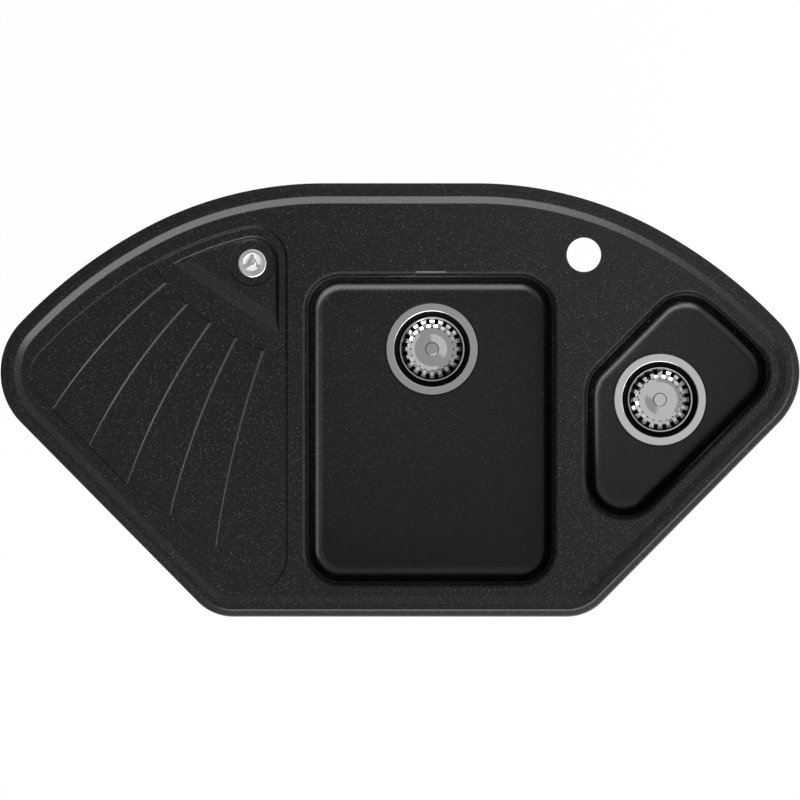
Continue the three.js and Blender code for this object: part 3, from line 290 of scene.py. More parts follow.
def crown_run():
    """The rear of the sink, from past the right apex to past the left one."""
    step = 0.5
    centre = Vector((SINK_WIDTH / 2 - SHOULDER_WIDTH, SINK_DEPTH - REAR_RADIUS))
    half = [polar(centre, REAR_RADIUS, 90 - step * i) for i in range(int(REAR_SWEEP / step) + 1)]
    flank = polar(centre, REAR_RADIUS - FLANK_RADIUS, 90 - REAR_SWEEP)
    turns = [REAR_SWEEP + step * i for i in range(int((90 - REAR_SWEEP) / step))]
    half += [polar(flank, FLANK_RADIUS, 90 - turn) for turn in turns]
    return half[::-1] + [Vector((-p.x, p.y)) for p in half]


CROWN = crown_run()
RIGHT_APEX = crossing(shifted(CROWN, APEX_RADIUS), line_up(SINK_WIDTH / 2 - APEX_RADIUS))[0]
RIGHT_DIAGONAL = line(polar(RIGHT_APEX, APEX_RADIUS, DIAGONAL_ANGLE - 90), DIAGONAL_ANGLE)
LEFT_DIAGONAL = [Vector((-p.x, p.y)) for p in reversed(RIGHT_DIAGONAL)]
SINK_OUTLINE = Outline(
    [line_across(0), RIGHT_DIAGONAL, CROWN, LEFT_DIAGONAL],
    [FRONT_CORNER_RADIUS, APEX_RADIUS, APEX_RADIUS, FRONT_CORNER_RADIUS],
    [4, 4, 150, 4],
    [16, 36, 36, 16],
)

MAIN_BOWL_LEFT = MAIN_BOWL_CENTRE - MAIN_BOWL_WIDTH / 2
MAIN_BOWL_RIGHT = MAIN_BOWL_CENTRE + MAIN_BOWL_WIDTH / 2
MAIN_BOWL_REAR = SINK_DEPTH - REAR_LEDGE
MAIN_BOWL_OUTLINE = Outline(
    [
        line_across(FRONT_LEDGE),
        line_up(MAIN_BOWL_RIGHT),
        line_across(MAIN_BOWL_REAR)[::-1],
        line_up(MAIN_BOWL_LEFT)[::-1],
    ],
    [MAIN_CORNER_RADIUS] * 4,
    [12] * 4,
    [20] * 4,
)

SMALL_BOWL_LEFT = MAIN_BOWL_RIGHT + BOWL_BRIDGE
SMALL_BOWL_OUTER_SIDE = shifted(RIGHT_DIAGONAL, SMALL_BOWL_INSET)
SMALL_BOWL_OUTLINE = Outline(
    [
        SMALL_BOWL_OUTER_SIDE,
        shifted(CROWN, SMALL_BOWL_INSET),
        shifted(SMALL_BOWL_OUTER_SIDE, SMALL_BOWL_ACROSS)[::-1],
        line_up(SMALL_BOWL_LEFT)[::-1],
    ],
    [SMALL_CORNER_RADIUS] * 4,
    [12, 8, 10, 10],
    [20, 20, 16, 24],
)

DRAINER_RIGHT = MAIN_BOWL_LEFT - DRAINER_BRIDGE
DRAINER_OUTLINE = Outline(
    [
        shifted(LEFT_DIAGONAL, DRAINER_DIAGONAL_INSET),
        line_up(DRAINER_RIGHT),
        shifted(CROWN, DRAINER_REAR_INSET),
    ],
    DRAINER_RADII,
    [8, 12, 60],
    [30, 20, 24],
)
WELL_SIDES = [line_up(DRAINER_RIGHT - WELL_SIDE_INSET), shifted(CROWN, WELL_REAR_INSET)]
OUTLET = Outline(WELL_SIDES, [WELL_CORNER_RADIUS] * 2, [2, 2], [6, 6]).corner(0, 0)[0]
WELL_OUTLINE = Outline(
    [
        line(polar(OUTLET, WELL_RAMP_HEAD + 2 * WELL_WALL, WELL_RAMP_ANGLE - 90), WELL_RAMP_ANGLE),
        *WELL_SIDES,
    ],
    [WELL_WALL, WELL_CORNER_RADIUS, WELL_WALL],
    [4, 12, 40],
    [6, 36, 6],
)
SUMP_FLOOR = DECK_HEIGHT - APRON_DROP - WELL_DEPTH
WELL_RISE = APRON_HEIGHT - SUMP_FLOOR
ROSETTE_SEAT = SUMP_FLOOR - SHEET - FIT
WELL_PAD = SUMP_FLOOR - SHELL
PAD_BELOW_SEAT = WELL_PAD - ROSETTE_SEAT


# ---------- Solids ----------
def select(*pieces):
    bpy.ops.object.select_all(action="DESELECT")
    for piece in pieces:
        piece.select_set(True)
    bpy.context.view_layer.objects.active = pieces[0]


def edit(piece):
    select(piece)
    bpy.ops.object.mode_set(mode="EDIT")
    bpy.ops.mesh.select_all(action="SELECT")


def done():
    bpy.ops.object.mode_set(mode="OBJECT")


def solid(points, edges, faces, name="piece"):
    mesh = bpy.data.meshes.new(name)
    mesh.from_pydata(points, edges, faces)
    piece = bpy.data.objects.new(name, mesh)
    bpy.context.scene.collection.objects.link(piece)
    return piece


def moved(piece, *offset, turn=0, axis="Z"):
    """Turns a piece about an axis through the origin, then shifts it."""
    shift = Matrix.Translation(offset or (0, 0, 0))
    piece.data.transform(shift @ Matrix.Rotation(math.radians(turn), 4, axis))
    return piece


def outward(piece):
    edit(piece)
    bpy.ops.mesh.normals_make_consistent(inside=False)
    done()
    return piece


def loft(sections):
    """A closed skin over sections in order, each a ring of as many points."""
    count = len(sections[0])
    points = [tuple(p) for section in sections for p in section]
    top = len(points) - count
    faces = [tuple(range(count)), tuple(reversed(range(top, top + count)))]
    for low in range(0, top, count):
        for i in range(count):
            a, b = low + i, low + (i + 1) % count
            faces.append((a, a + count, b + count, b))
    return outward(solid(points, [], faces))


def skin(rings):
    """A body over (points, height) rings, lowest first. A ring may have a list of heights."""
    count = len(rings[0][0])
    points = []
    for ring, height in rings:
        heights = height if isinstance(height, list) else [height] * count
        points += [(*p, z) for p, z in zip(ring, heights)]
    top = len(points) - count
    faces = [tuple(reversed(range(count)))]
    for low in range(0, top, count):
        for i in range(count):
            j = (i + 1) % count
            faces.append((low + i, low + j, low + count + j, low + count + i))
    return solid(points, [], [*faces, tuple(range(top, top + count))])


def turned(profile, steps=96, centre=(0, 0, 0)):
    """A body spun round an upright axis from a closed run of (radius, height) pairs."""
    points = [(max(radius, 0), 0, z) for radius, z in profile]
    edges = [(i, (i + 1) % len(points)) for i in range(len(points))]
    piece = solid(points, edges, [])
    edit(piece)
    bpy.ops.mesh.spin(steps=steps, angle=2 * math.pi, center=(0, 0, 0), axis=(0, 0, 1))
    bpy.ops.mesh.select_all(action="SELECT")
    bpy.ops.mesh.remove_doubles(threshold=0.001)
    bpy.ops.mesh.normals_make_consistent(inside=False)
    done()
    return moved(piece, *centre)


def eased(first, here, last, steps):
    """A bend from first to last, drawn towards here."""
    shares = [k / steps for k in range(steps + 1)]
    return [first * (1 - t) ** 2 + here * 2 * t * (1 - t) + last * t * t for t in shares]


def softened(profile, radius, steps=3):
    """A closed (radius, height) run with its corners rounded, except on the axis."""
    out = []
    for i, corner in enumerate(profile):
        if corner[0] <= 0:
            out.append(corner)
            continue
        here = Vector(corner)
        behind = Vector(profile[i - 1]) - here
        ahead = Vector(profile[(i + 1) % len(profile)]) - here
        reach = min(radius, 0.45 * behind.length, 0.45 * ahead.length)
        first, last = here + behind.normalized() * reach, here + ahead.normalized() * reach
        out += [tuple(point) for point in eased(first, here, last, steps)]
    return out


def disc(radius, bottom, top, centre=(0, 0), steps=96):
    profile = [(0, bottom), (radius, bottom), (radius, top), (0, top)]
    return turned(profile, steps, (*centre, 0))


def block(size, centre):
    bpy.ops.object.select_all(action="DESELECT")
    bpy.ops.mesh.primitive_cube_add(size=1, location=(0, 0, 0))
    piece = bpy.context.object
    piece.data.transform(Matrix.Translation(centre) @ Matrix.Diagonal((*size, 1)))
    return piece


def modify(piece, kind, **settings):
    modifier = piece.modifiers.new(kind, kind)
    for key, value in settings.items():
        setattr(modifier, key, value)
    select(piece)
    bpy.ops.object.modifier_apply(modifier=modifier.name)


def shape(piece, other, operation):
    """Joins the other body to the piece, cuts it out, or keeps what they share."""
    modify(piece, "BOOLEAN", operation=operation, solver="MANIFOLD", object=other)
    bpy.data.objects.remove(other)
    return piece


def join(piece, *others):
    for other in others:
        shape(piece, other, "UNION")
    return piece


def cut(piece, *tools):
    for tool in tools:
        shape(piece, tool, "DIFFERENCE")
    return piece


def bevel(piece, width, segments=2):
    modify(
        piece, "BEVEL", width=width, segments=segments,
        limit_method="ANGLE", angle_limit=math.radians(30),
    )


def smooth(piece, angle=30):
    """Smooth shading up to the angle, and dead flat on the faces that lie level."""
    edit(piece)
    bpy.ops.mesh.remove_doubles(threshold=0.01)
    bpy.ops.mesh.dissolve_degenerate(threshold=0.01)
    done()
    select(piece)
    bpy.ops.object.shade_smooth_by_angle(angle=math.radians(angle))
    modify(piece, "WEIGHTED_NORMAL", keep_sharp=True)
    mesh = piece.data
    up = Vector((0, 0, 1))
    level = {}
    for face in mesh.polygons:
        if abs(face.normal.z) > 0.99999:
            for corner in face.vertices:
                level[corner] = up if face.normal.z > 0 else -up
    normals = [corner.vector.copy() for corner in mesh.corner_normals]
    for face in mesh.polygons:
        for loop in face.loop_indices:
            flat = level.get(mesh.loops[loop].vertex_index)
            if flat and face.normal.dot(flat) > math.cos(math.radians(angle)):
                normals[loop] = flat
    mesh.normals_split_custom_set(normals)


def spider(reach, width, bottom, top, first):
    """Three spokes out from the middle, the first at an angle counted from X."""
    arms = []
    for turn in (0, 120, 240):
        arm = block((reach, width, top - bottom), (reach / 2, 0, (top + bottom) / 2))
        arms.append(moved(arm, turn=first + turn))
    return join(*arms)


def route(points, bend, steps=12):
    """Straight runs joined by bends, as a run of points in space."""
    points = [Vector(p) for p in points]
    run = [points[0]]
    for before, here, after in zip(points, points[1:], points[2:]):
        enter = here + (before - here).normalized() * bend
        leave = here + (after - here).normalized() * bend
        run += eased(enter, here, leave, steps)
    return run + [points[-1]]


def evenly(run, gap):
    out, need = [run[0]], gap
    for a, b in zip(run, run[1:]):
        length = (b - a).length
        while need < length:
            out.append(a.lerp(b, need / length))
            need += gap
        need -= length
    return out + [run[-1]]


def swept(run, radius, sides=40):
    """A round bar along a run. Its radius may be a function of the share of the way along."""
    forward = (run[1] - run[0]).normalized()
    aside = forward.orthogonal().normalized()
    turns = [2 * math.pi * k / sides for k in range(sides)]
    rings = []
    for i, point in enumerate(run):
        ahead = (run[min(i + 1, len(run) - 1)] - run[max(i - 1, 0)]).normalized()
        aside = forward.rotation_difference(ahead) @ aside
        forward = ahead
        across = ahead.cross(aside)
        size = radius(i / (len(run) - 1)) if callable(radius) else radius
        rings.append([point + (aside * math.cos(t) + across * math.sin(t)) * size for t in turns])
    return loft(rings)


def bar(start, end, radius, sides=48):
    return swept([Vector(start), Vector(end)], radius, sides)


MM = Matrix.Translation((0, -SEAT_LINE / 1000, 0)) @ Matrix.Scale(0.001, 4)


def place(piece, node, slot, body="sink", name=None):
    """Turns a finished piece into metres and sets it on its body in place of its node."""
    piece.name = name or f"{node}_piece"
    piece.data.name = piece.name
    piece.data.transform(MM)
    if not any(piece.data.materials):
        piece.data.materials.clear()
        piece.data.materials.append(PAINTS[slot])
    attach(piece, body)
    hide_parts(node)


def fitted(piece, node, slot, body="sink", angle=30):
    smooth(piece, angle)
    place(piece, node, slot, body)


# ---------- Shader maths ----------
class Wire:
    """A shader socket. An expression on wires adds its Math nodes."""

    def __init__(self, paint, socket):
        self.paint, self.socket = paint, socket

    def maths(self, operation, first, second):
        return self.paint.node("ShaderNodeMath", {"operation": operation}, {0: first, 1: second})

    def __add__(self, other):
        return self.maths("ADD", self, other)

    def __sub__(self, other):
        return self.maths("SUBTRACT", self, other)

    def __mul__(self, other):
        return self.maths("MULTIPLY", self, other)

    def __rsub__(self, other):
        return self.maths("SUBTRACT", other, self)

    __radd__ = __add__
    __rmul__ = __mul__


class Paint:
    """A material: constants on the shader's own sockets, and nodes where its look changes."""

    def __init__(self, name, finish=None):
        self.material = bpy.data.materials.new(name)
        self.material.use_nodes = True
        self.tree = self.material.node_tree
        self.shader = self.tree.nodes["Principled BSDF"]
        for socket, value in (finish or {}).items():
            self.shader.inputs[socket].default_value = value
        self.spot = self.node("ShaderNodeTexCoord", out="Object")

    def node(self, kind, settings=None, sockets=None, out=0):
        made = self.tree.nodes.new(kind)
        for key, value in (settings or {}).items():
            setattr(made, key, value)
        for key, value in (sockets or {}).items():
            if isinstance(value, Wire):
                self.tree.links.new(value.socket, made.inputs[key])
            else:
                made.inputs[key].default_value = value
        return Wire(self, made.outputs[out])

    def feed(self, socket, wire):
        self.tree.links.new(wire.socket, self.shader.inputs[socket])

    def noise(self, scale, detail=2, spot=None):
        sockets = {"Vector": spot or self.spot, "Scale": scale, "Detail": detail}
        return self.node("ShaderNodeTexNoise", None, sockets)

    def cells(self, scale, out="Distance"):
        return self.node(
            "ShaderNodeTexVoronoi", None, {"Vector": self.spot, "Scale": scale}, out=out
        )

    def blend(self, share, first, second):
        settings = {"data_type": "RGBA"}
        return self.node("ShaderNodeMix", settings, {0: share, 6: first, 7: second}, out=2)

    def step(self, wire, low, high):
        """0 below low and 1 above high, with a straight ramp between."""
        sockets = {0: wire, 1: low, 2: high}
        return self.node("ShaderNodeMapRange", None, sockets)

    def stretched(self, scale):
        return self.node("ShaderNodeMapping", None, {"Vector": self.spot, "Scale": scale})

    def bump(self, height, strength, distance):
        sockets = {"Strength": strength, "Distance": distance, "Height": height}
        self.feed("Normal", self.node("ShaderNodeBump", None, sockets))


def grey(level):
    return (level, level, level, 1)


def black_composite():
    """Near-black moulded stone: pale grains of mixed size and brightness under a matt skin."""
    paint = Paint("black_composite", {"Specular IOR Level": 0.42})
    layers = []
    for scale, size, share in ((620, 0.28, 0.87), (1100, 0.34, 0.85)):
        near = 1 - paint.step(paint.cells(scale), size * 0.6, size)
        tint = paint.node("ShaderNodeSeparateColor", None, {0: paint.cells(scale, "Color")})
        layers.append(near * paint.step(tint, share, 1))
    grains = layers[0].maths("MAXIMUM", *layers)
    ground = paint.blend(paint.noise(90, 3), grey(0.0008), grey(0.0022))
    paint.feed("Base Color", paint.blend(grains, ground, grey(0.27)))
    paint.feed("Roughness", 0.23 + paint.noise(260, 3) * 0.05)
    paint.bump(paint.noise(1900, 2), 0.05, 0.0003)
    return paint.material


def mottled(name, finish, scale, detail, tones, rough, skin_bump=None):
    """A paint whose colour and roughness drift together with one noise."""
    paint = Paint(name, finish)
    drift = paint.noise(scale, detail)
    paint.feed("Base Color", paint.blend(drift, *tones))
    paint.feed("Roughness", rough[0] + drift * rough[1])
    if skin_bump:
        paint.bump(paint.noise(1400, 2), *skin_bump)
    return paint.material


def strainer_steel():
    """Satin stainless sheet with a straight grain."""
    paint = Paint("strainer_steel", {"Metallic": 1})
    grain = paint.noise(1.0, 4, paint.stretched((60, 2600, 600)))
    paint.feed("Base Color", paint.blend(grain, (0.57, 0.57, 0.58, 1), (0.63, 0.63, 0.64, 1)))
    paint.feed("Roughness", 0.05 + grain * 0.05)
    return paint.material


def white_plastic():
    """Moulded waste fittings, a little warm, with a faint flow pattern."""
    paint = Paint("white_plastic", {"Specular IOR Level": 0.45})
    flow = paint.noise(28, 3)
    paint.feed("Base Color", paint.blend(flow, (0.76, 0.75, 0.72, 1), (0.83, 0.825, 0.8, 1)))
    paint.feed("Roughness", 0.34 + paint.noise(180, 3) * 0.14)
    paint.bump(paint.noise(700, 2), 0.06, 0.0004)
    return paint.material


def zinc_plate():
    """Dull zinc with a crystalline mottle."""
    paint = Paint("zinc_plate", {"Metallic": 1})
    mottle = paint.cells(420, "Color")
    shade = paint.node("ShaderNodeSeparateColor", None, {0: mottle})
    paint.feed("Base Color", paint.blend(shade, (0.36, 0.37, 0.38, 1), (0.52, 0.53, 0.55, 1)))
    paint.feed("Roughness", 0.38 + shade * 0.14)
    return paint.material


# Painted shade: a near-black, barely reflective steel put on strainer faces where shade falls
# (grooves, slots, hollows) and on edges that would otherwise catch highlights.
PAINTED_SHADE_STEEL = mottled(
    "painted_shade_steel", {"Specular IOR Level": 0.1}, 500, 3, (grey(0.001), grey(0.004)), (0.6, 0.1)
)
PAINTS = {
    "composite": black_composite(),
    "strainer_steel": strainer_steel(),
    "outlet_chrome": mottled(
        "polished_chrome", {"Metallic": 1}, 420, 4,
        ((0.74, 0.745, 0.75, 1), (0.82, 0.825, 0.83, 1)), (0.06, 0.06),
    ),
    "seal_rubber": mottled(
        "seal_rubber", {}, 150, 4, (grey(0.012), grey(0.03)), (0.62, 0.2), (0.15, 0.0003)
    ),
    "white_plastic": white_plastic(),
    "hose_plastic": mottled(
        "hose_plastic", {"Specular IOR Level": 0.4}, 60, 3,
        ((0.66, 0.66, 0.64, 1), (0.76, 0.76, 0.74, 1)), (0.42, 0.14),
    ),
    "zinc": zinc_plate(),
}

# Each carried-over node gets the paint of its slot in the record.
for subpart in frame["record"]["subparts"]:
    mesh = frame["nodes"][subpart["node"]].data
    mesh.materials.clear()
    mesh.materials.append(PAINTS[subpart["material_slot"]])


# ---------- Basin ----------
def spot_of(node):
    """The middle of a node in plan, in millimetres from the front edge."""
    low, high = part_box(node)
    middle = (low + high) * 500
    return Vector((middle.x, middle.y + SEAT_LINE))


SEAT_RECESS = 2.2
SEAT_RADIUS = FLANGE_RADIUS + 1
CUP_HOLE_RADIUS = CUP_RADIUS + SHEET + SLIDE
PAD_RADIUS = SEAT_RADIUS + 8
MAIN_DRAIN = spot_of("main_strainer_flange")
SMALL_DRAIN = spot_of("small_strainer_flange")
CLIP_SPOTS = [spot_of(f"fixing_screw_{number}") for number in range(1, len(CLIP_HEADINGS) + 1)]
MAIN_FLOOR = DECK_HEIGHT - MAIN_BOWL_DEPTH
SMALL_FLOOR = DECK_HEIGHT - SMALL_BOWL_DEPTH
MAIN_SEAT = MAIN_FLOOR - BOWL_FLOOR_FALL - SEAT_RECESS
SMALL_SEAT = SMALL_FLOOR - BOWL_FLOOR_FALL - SEAT_RECESS
BOWLS = (
    (MAIN_BOWL_OUTLINE, MAIN_DRAIN, MAIN_FLOOR),
    (SMALL_BOWL_OUTLINE, SMALL_DRAIN, SMALL_FLOOR),
)
TUB_DRAFTS = (MAIN_WALL_DRAFT, SMALL_WALL_DRAFT)


def circle_like(points, centre, radius):
    return [centre + (p - centre).normalized() * radius for p in points]


def between(a, b, share):
    return [p.lerp(q, share) for p, q in zip(a, b)]


def bowl_cavity(outline, drain, floor):
    """The wet face of a bowl, from its floor, a flat cone round the drain, up to above the deck."""
    lip = []
    inset, height = 0, DECK_HEIGHT
    for low_tilt, high_tilt, radius in reversed(LIP_ARCS):
        last = math.radians(high_tilt)
        for step in range(LIP_STEPS + 1):
            turn = math.radians(high_tilt + (low_tilt - high_tilt) * step / LIP_STEPS)
            lip.append((inset + radius * (math.sin(turn) - math.sin(last)),
                        height - radius * (math.cos(last) - math.cos(turn))))
        inset, height = lip.pop()
    lip.append((inset, height))
    foot = inset + WET_WALL_DRAFT
    edge = outline.at(foot + WET_FLOOR_RADIUS)
    pad = circle_like(edge, drain, SEAT_RADIUS + 2)
    reaches = [(p - drain).length - SEAT_RADIUS - 2 for p in edge]
    low = floor - BOWL_FLOOR_FALL
    rises = [BOWL_FLOOR_FALL * reach / max(reaches) for reach in reaches]
    rings = [(pad, low), (between(pad, edge, 0.5), [low + rise / 2 for rise in rises])]
    for turn in range(0, 91, 6):
        inset = foot + WET_FLOOR_RADIUS * (1 - math.sin(math.radians(turn)))
        up = WET_FLOOR_RADIUS * (1 - math.cos(math.radians(turn)))
        rings.append((outline.at(inset), [low + rise + up for rise in rises]))
    rings += [(outline.at(inset), height) for inset, height in reversed(lip)]
    rings.append((outline.at(0), DECK_HEIGHT + RIM_HEIGHT))
    return skin(rings)


def bowl_tub(outline, drain, floor, draft):
    """The tub round a bowl, one wall thicker, up into the deck."""
    foot = BOWL_LIP_RADIUS + draft
    outer = BOWL_FLOOR_RADIUS + SHELL
    edge = outline.at(foot + BOWL_FLOOR_RADIUS)
    rings = [(circle_like(edge, drain, PAD_RADIUS), floor - BOWL_FLOOR_FALL - SHELL)]
    for turn in range(0, 91, 15):
        inset = foot + BOWL_FLOOR_RADIUS - outer * math.sin(math.radians(turn))
        height = floor + BOWL_FLOOR_RADIUS - outer * math.cos(math.radians(turn))
        rings.append((outline.at(inset), height))
    top = outline.at(BOWL_LIP_RADIUS - SHELL)
    rings += [(top, DECK_HEIGHT - BOWL_LIP_RADIUS), (top, DECK_HEIGHT - FIT)]
    return skin(rings)


# Over the rim, as (inset, height) pairs from under it to the deck.
RIM_SECTION = (
    (SEAT_WIDTH + 3, UNDER_DECK), (SEAT_WIDTH, 0), (0.8, 0), (0.24, 0.24), (0, 0.8),
    (0, 5.2), (0.08, 5.7), (0.3, 6.15), (0.7, 6.45), (1.3, 6.63), (2.1, 6.76), (3.0, 6.89),
    (4.2, 7.07), (6.0, 7.33), (7.8, 7.6), (8.3, 7.72), (8.7, 7.95), (9.05, 8.25), (9.4, 8.43),
    (9.9, RIM_HEIGHT), (RIM_LAND_END - 0.6, RIM_HEIGHT), (RIM_LAND_END, 8.43),
    (RIM_LAND_END + 0.6, 8.25), (RIM_LAND_END + 1.2, 8.02), (RIM_SLOPE_END - 1.2, 4.98),
    (RIM_SLOPE_END - 0.6, 4.75), (RIM_SLOPE_END, 4.57), (RIM_SLOPE_END + 0.7, DECK_HEIGHT),
)


def deck_slab():
    return skin([(SINK_OUTLINE.at(inset), z) for inset, z in RIM_SECTION])


# ---------- Drainer ----------
CREASE_CENTRE = Vector((DRAINER_RIGHT + CREASE_FROM_BRIDGE, SINK_DEPTH + CREASE_FROM_REAR))
RIDGE_STEPS = 40
RIDGE_OVERRUN = 1.12


def ridge_run(k):
    """A ridge from the crease to past the diagonal edge, bowed towards the rear."""
    start = polar(CREASE_CENTRE, CREASE_RADIUS, FIRST_RIDGE_ANGLE + k * RIDGE_PITCH)
    heading = FIRST_RIDGE_ANGLE + k * RIDGE_PITCH + RIDGE_TURN
    end = crossing([start, polar(start, FAR, heading)], DRAINER_OUTLINE.sides[0])[0]
    length = (end - start).length
    run = []
    for i in range(RIDGE_STEPS + 1):
        share = i / RIDGE_STEPS * RIDGE_OVERRUN
        along = polar(start, share * length, heading)
        run.append(polar(along, 4 * RIDGE_BOW * share * (1 - share), heading - 90))
    return run


def side_run():
    """The last panel ends at the drainer's straight side."""
    run = ridge_run(RIDGE_COUNT - 1)
    first = polar(CREASE_CENTRE, CREASE_RADIUS, FIRST_RIDGE_ANGLE + (RIDGE_COUNT - 1) * RIDGE_PITCH)
    heights = [first.y] + [p.y for p in run[1:]]
    return [Vector((DRAINER_RIGHT + 4, y)) for y in heights]


# Across a ridge: millimetres past its crest, and the share of its height that is left.
RIDGE_SECTION = (
    (-2.4, 1), (-1.5, 0.985), (-0.9, 0.93), (-0.35, 0.78),
    (0.15, 0.5), (0.65, 0.22), (1.2, 0.07), (2, 0),
)


def fan_cutter():
    """All panels as one cutter: each is low beside its own ridge and high before the next."""
    runs = [ridge_run(k) for k in range(-1, RIDGE_COUNT)] + [side_run()]
    rings = []
    for i in range(RIDGE_STEPS + 1):
        share = min(i / RIDGE_STEPS * RIDGE_OVERRUN, 1)
        low = DECK_HEIGHT - DRAINER_STEP - DRAINER_FALL * (1 - share)
        rise = RIDGE_HEIGHT + (RIDGE_HEIGHT_AT_RIM - RIDGE_HEIGHT) * share
        section = [(*runs[0][i], low)]
        for k in range(1, len(runs)):
            crest, behind = runs[k][i], runs[k - 1][i]
            across = (crest - behind).normalized()
            if k + 1 == len(runs):
                section.append((*crest, low + rise * 0.4))
                break
            for past, left in RIDGE_SECTION:
                spot = crest + across * past
                section.append((*spot, low + rise * left))
        top = DECK_HEIGHT + RIM_HEIGHT
        section += [(*runs[-1][i], top), (*runs[0][i], top)]
        rings.append(section)
    return loft(rings)


def edge_curve(steps=7):
    """The recess's wall: rounded over at the deck and filleted at the apron, as (inset, height)."""
    radius, steepest = 0.9, 60
    top = [tuple(polar((0, -radius), radius, 90 - steepest * i / steps)) for i in range(steps + 1)]
    foot = [(-x, -z) for x, z in reversed(top)]
    depth = DECK_HEIGHT - APRON_HEIGHT
    middle = (depth + 2 * top[-1][1]) / math.tan(math.radians(steepest))
    shift = (DRAINER_EDGE - 2 * top[-1][0] - middle) / 2
    wall = [(shift + x, DECK_HEIGHT + z) for x, z in top]
    wall += [(shift + 2 * top[-1][0] + middle + x, APRON_HEIGHT + z) for x, z in foot]
    return wall[::-1]


def drainer_cutter():
    fan = fan_cutter()
    steps = 320
    turns = [i * 360 / steps for i in range(steps)]
    step_wall = [(0, 0), (0.2, 0.08), (0.4, 0.3), (0.9, 1.2), (1.6, 2.2), (2.8, 3.0), (3, 12)]
    apron = skin(
        [([polar(CREASE_CENTRE, CREASE_RADIUS + out, t) for t in turns], APRON_HEIGHT + up)
         for out, up in step_wall],
    )
    wall = edge_curve()
    wall = [(wall[0][0], APRON_HEIGHT - 8), *wall, (wall[-1][0], DECK_HEIGHT + RIM_HEIGHT)]
    recess = skin([(DRAINER_OUTLINE.at(inset), height) for inset, height in wall])
    join(fan, apron)
    return shape(fan, recess, "INTERSECT")


# The well's wall: shares of its width and of its rise.
WELL_SECTION = (
    (1.2, 0), (1.0, 0.01), (0.82, 0.05), (0.64, 0.12), (0.48, 0.22), (0.34, 0.35), (0.22, 0.52),
    (0.12, 0.7), (0.04, 0.86), (-0.03, 0.955), (-0.12, 0.992), (-0.22, 1),
)
RAMP_STEPS = 24


def well_body(thickness, top):
    """The well, or the body one shell thicker: a soft ramp climbs from its falling floor."""
    low = SUMP_FLOOR - thickness
    rings = [
        (WELL_OUTLINE.at(WELL_WALL * inset - thickness), low + WELL_RISE * up)
        for inset, up in WELL_SECTION
    ]
    rings.append((WELL_OUTLINE.at(WELL_WALL * WELL_SECTION[-1][0] - thickness), top))
    far = -WELL_CORNER_RADIUS - WELL_WALL - SHELL
    climb = WELL_RISE - WELL_FALL
    section = [(far, top), (far, low + 1), (-SUMP_RADIUS, low + 1)]
    for i in range(RAMP_STEPS + 1):
        share = i / RAMP_STEPS
        across = WELL_RAMP_FOOT + (WELL_RAMP_HEAD - WELL_RAMP_FOOT) * share
        section.append((across, low + WELL_FALL + climb * share * share * (3 - 2 * share)))
    section.append((WELL_RAMP_HEAD, top))
    ahead = polar((0, 0), 1, WELL_RAMP_ANGLE - 90)
    aside = Vector((-ahead.y, ahead.x)) * CREASE_RADIUS
    ends = [
        [(*(OUTLET + ahead * across + aside * side), height) for across, height in section]
        for side in (-1, 1)
    ]
    return shape(skin(rings), loft(ends), "INTERSECT")


def well_cutter():
    sump_top = SUMP_FLOOR + WELL_FALL + 1
    sump = turned(
        [(0, SUMP_FLOOR), (SUMP_RADIUS - 1.7, SUMP_FLOOR), (SUMP_RADIUS - 1.3, SUMP_FLOOR + 0.3),
         (SUMP_RADIUS, SUMP_FLOOR + WELL_FALL), (SUMP_RADIUS, sump_top), (0, sump_top)],
        centre=(OUTLET.x, OUTLET.y, 0),
    )
    return join(
        well_body(0, DECK_HEIGHT + RIM_HEIGHT),
        sump,
        disc(ROSETTE_RADIUS + 2 * SLIDE, ROSETTE_SEAT, sump_top, OUTLET),
        disc(OUTLET_RADIUS, WELL_PAD - 1, sump_top, OUTLET),
    )


def drainer_underside():
    pan = skin(
        [(DRAINER_OUTLINE.at(SHELL / 2), APRON_HEIGHT - SHELL),
         (DRAINER_OUTLINE.at(-SHELL / 2), UNDER_DECK + FIT),
         (DRAINER_OUTLINE.at(-SHELL / 2), 0)],
    )
    return [pan, well_body(SHELL, 0), disc(SUMP_RADIUS + 5, WELL_PAD, SUMP_FLOOR, OUTLET)]


OVERFLOW_TOP = UNDER_DECK - 3.5
OVERFLOW_X = MAIN_DRAIN.x - 2
OVERFLOW_Y = MAIN_BOWL_REAR - BOWL_LIP_RADIUS + OVERFLOW_POCKET
OVERFLOW_Z = OVERFLOW_TOP - OVERFLOW_HEIGHT / 2
OVERFLOW_BOSS_Y = MAIN_BOWL_REAR + SHELL


def overflow_boss():
    depth = OVERFLOW_BOSS_Y - MAIN_BOWL_REAR + 2 * BOWL_LIP_RADIUS
    height = 38
    centre = (OVERFLOW_X, OVERFLOW_BOSS_Y - depth / 2, UNDER_DECK + 1 - height / 2)
    return block((OVERFLOW_WIDTH + 26, depth, height), centre)


def overflow_cutters():
    """An upright pocket behind the lip, the slot through the wall, and a slope down to it."""
    reach = 60
    top = DECK_HEIGHT + 1
    bottom = OVERFLOW_Z - OVERFLOW_HEIGHT / 2 - 1
    y = OVERFLOW_Y - reach / 2
    pocket = block((OVERFLOW_WIDTH, reach, top - bottom), (OVERFLOW_X, y, (top + bottom) / 2))
    slot = block((OVERFLOW_SLOT, reach, OVERFLOW_HEIGHT), (OVERFLOW_X, OVERFLOW_Y, OVERFLOW_Z))
    slope = 30
    drop = (MAIN_BOWL_REAR + 0.7 - OVERFLOW_Y) * math.tan(math.radians(slope))
    chamfer = block((OVERFLOW_WIDTH, reach, reach), (0, -reach / 2, reach / 2))
    moved(chamfer, OVERFLOW_X, OVERFLOW_Y, DECK_HEIGHT - drop, turn=slope - 90, axis="X")
    return [pocket, slot, chamfer]


